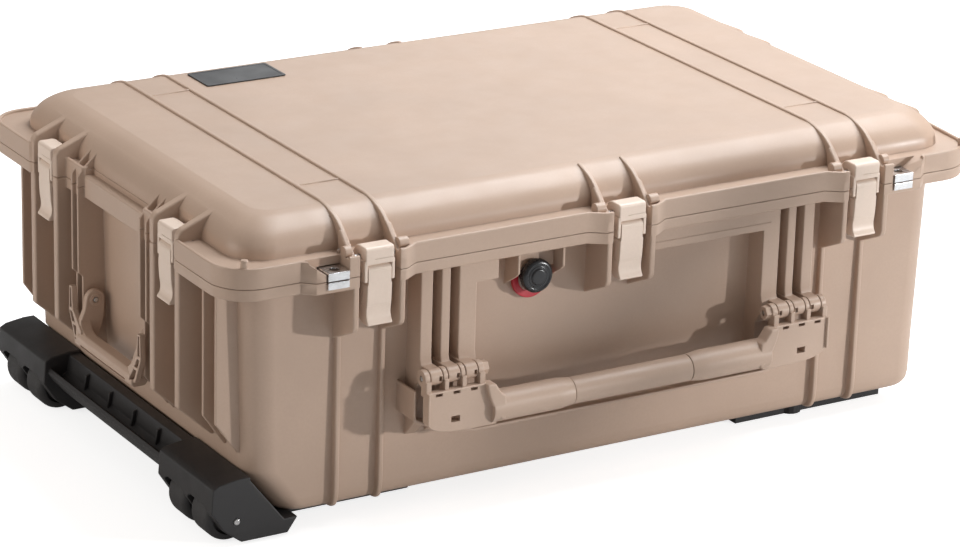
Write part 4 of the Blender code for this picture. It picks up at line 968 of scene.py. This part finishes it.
def padlock_plates():
    for tag, side in (("left", -1), ("right", 1)):
        x0, x1 = across(side * LOCK_X, PLATE_HALF)
        for level, body, flat, upright in LEAVES:
            shape = box(x0, x1, PLATE_FRONT, -0.2440, *flat, 0.0003)
            shape = boolean(shape, "UNION", [box(x0, x1, PLATE_FRONT, -0.2614, *upright, 0.0003)])
            hole = rod("z", 0.2300, 0.2700, side * LOCK_X, LOCK_Y, PLATE_HOLE_R, 32)
            shape = boolean(shape, "DIFFERENCE", [hole])
            node = f"padlock_plate_{level}_{tag}"
            piece(node + "_pressing", shape, PLATE_STEEL, body, "steel_plate", node)


# ---- Pins, tubes and the plainer mouldings ----
def shaft(node, material, slot, chamfer=0.0005):
    """A smooth round shaft with chamfered ends, as long and thick as the CAD node's box."""
    low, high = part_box(node)
    low, high = low - CENTRE, high - CENTRE
    size = high - low
    long = max(range(3), key=lambda i: size[i])
    others = [i for i in range(3) if i != long]
    radius = min(size[i] for i in others) / 2
    a, b = ((low[i] + high[i]) / 2 for i in others)
    start, end = low[long], high[long]
    stations = ((start, radius - chamfer), (start + chamfer, radius), (end - chamfer, radius),
                (end, radius - chamfer))
    body = frame["nodes"][node]["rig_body"]
    piece(node + "_round", turned("xyz"[long], a, b, stations, 28), material, body, slot, node)


def keep(node, material, width):
    """A CAD node that stays, with its edges rounded and a material of its own."""
    obj = frame["nodes"][node]
    obj.data.materials.clear()
    obj.data.materials.append(material)
    weld = obj.modifiers.new("weld", "WELD")
    weld.merge_threshold = 0.00001
    if width:
        bevel = obj.modifiers.new("round", "BEVEL")
        bevel.width = width
        bevel.segments = 2
        bevel.limit_method = "ANGLE"
        bevel.angle_limit = math.radians(35)


def small_pieces():
    for node in frame["nodes"]:
        if "_pin_" in node or node.startswith("axle"):
            shaft(node, PIN_STEEL, "steel_pin")
        elif node.startswith("pull_tube"):
            shaft(node, TUBE_STEEL, "steel_tube")
    for node in ("foot_front", "foot_rear", "pull_handle_housing", "pull_grip", "pull_lock_button"):
        keep(node, BLACK_TEXTURED, 0.0008)
    keep("valve_nut", BLACK_GLOSS, 0.0004)
    keep("lid_o_ring", SEAL_RUBBER, 0.0)


# ---- Floor, light and camera ----
def heading(bearing, height):
    """The way to a point at a bearing from the front and a height, both in degrees."""
    bearing, height = math.radians(bearing), math.radians(height)
    return Vector((math.sin(bearing) * math.cos(height), -math.cos(bearing) * math.cos(height),
                   math.sin(height)))


def lamp(name, kind, energy, spot, back):
    """A light at a point, with its back turned the given way."""
    obj = bpy.data.objects.new(name, bpy.data.lights.new(name, kind))
    obj.data.energy = energy
    obj.location = spot
    obj.rotation_euler = Vector(back).to_track_quat("Z", "Y").to_euler()
    bpy.context.scene.collection.objects.link(obj)
    return obj


def softbox(name, size, energy, colour, spot, back):
    light = lamp(name, "AREA", energy, spot, back).data
    light.shape = "RECTANGLE"
    light.size, light.size_y = size
    light.color = colour


def floor_and_room():
    bpy.ops.mesh.primitive_plane_add(size=60, location=(0, 0, 0))
    floor = bpy.context.object
    floor.name = "floor"
    floor.data.materials.append(pale_floor())
    world = bpy.data.worlds.new("white_room")
    world.use_nodes = True
    background = world.node_tree.nodes["Background"]
    background.inputs["Color"].default_value = (1.0, 0.96, 0.92, 1)
    background.inputs["Strength"].default_value = 0.27
    bpy.context.scene.world = world
    bpy.context.scene.view_settings.view_transform = "Standard"


KEY_TARGET, KEY_REACH = Vector((0.30, -0.22, 0.15)), 2.6
CARD_SHADOW = ((-0.165, 0.02), (-0.005, 0.02), (0.300, 0.34), (0.140, 0.34))
CARD_SHADOW_Y = -0.2255
COOL, WARM = (0.94, 0.97, 1.0), (1.0, 0.93, 0.86)


def lights():
    """A low key from the right, a cool top and back, a warm fill at the wheel end, and a shade card."""
    to_key = heading(40, 8)
    key = lamp("key", "SPOT", 185, KEY_TARGET + to_key * KEY_REACH, to_key)
    key.data.spot_size = math.radians(50)
    key.data.shadow_soft_size = 0.065
    shade_card(key.location)
    softbox("overhead", (1.6, 1.4), 51, COOL, (0.85, 0.05, 1.80), (0.35, -0.02, 1))
    softbox("end_fill", (1.6, 1.2), 18, WARM, (-2.4, 0.45, 0.75), (-1, 0.15, 0.25))
    softbox("sheen", (1.8, 1.0), 6, COOL, (1.65, 2.00, 1.10), (1.4, 1.9, 0.8))


def shade_card(key):
    """A card half way to the key, unseen itself, that shades a slanting band of the front wall."""
    bm = bmesh.new()
    for x, z in CARD_SHADOW:
        point = Vector((x, CARD_SHADOW_Y, z))
        bm.verts.new(point + (key - point) * 0.50)
    bm.faces.new(bm.verts)
    mesh = bpy.data.meshes.new("card")
    bm.to_mesh(mesh)
    bm.free()
    card = bpy.data.objects.new("shade_card", mesh)
    bpy.context.scene.collection.objects.link(card)
    card.data.materials.append(BLACK_TEXTURED)
    card.visible_camera = False


CAMERA_SPOT, CAMERA_ROLL, CAMERA_LENS = Vector((-1.8072, -2.9610, 1.3775)), 1.639, 143.34


def camera():
    """The camera left of the front and a little above, with a small roll."""
    back, roll = heading(-31.395, 19.928), math.radians(CAMERA_ROLL)
    right = Vector((0, 0, 1)).cross(back).normalized()
    up = back.cross(right)
    right, up = (right * math.cos(roll) + up * math.sin(roll), up * math.cos(roll) - right * math.sin(roll))
    cam = bpy.data.objects.new("camera", bpy.data.cameras.new("camera"))
    cam.data.lens = CAMERA_LENS
    cam.data.sensor_width = 36
    turn = Matrix((right, up, back)).transposed().to_4x4()
    cam.matrix_world = Matrix.Translation(CAMERA_SPOT + CENTRE) @ turn
    bpy.context.scene.collection.objects.link(cam)
    bpy.context.scene.camera = cam


base_shell()
lid_shell()
blank_plate()
latches()
front_handle()
for tag, side in (("left", -1), ("right", 1)):
    side_handle(tag, side)
wheel_carriage()
wheels()
valve()
padlock_plates()
small_pieces()
floor_and_room()
lights()
camera()
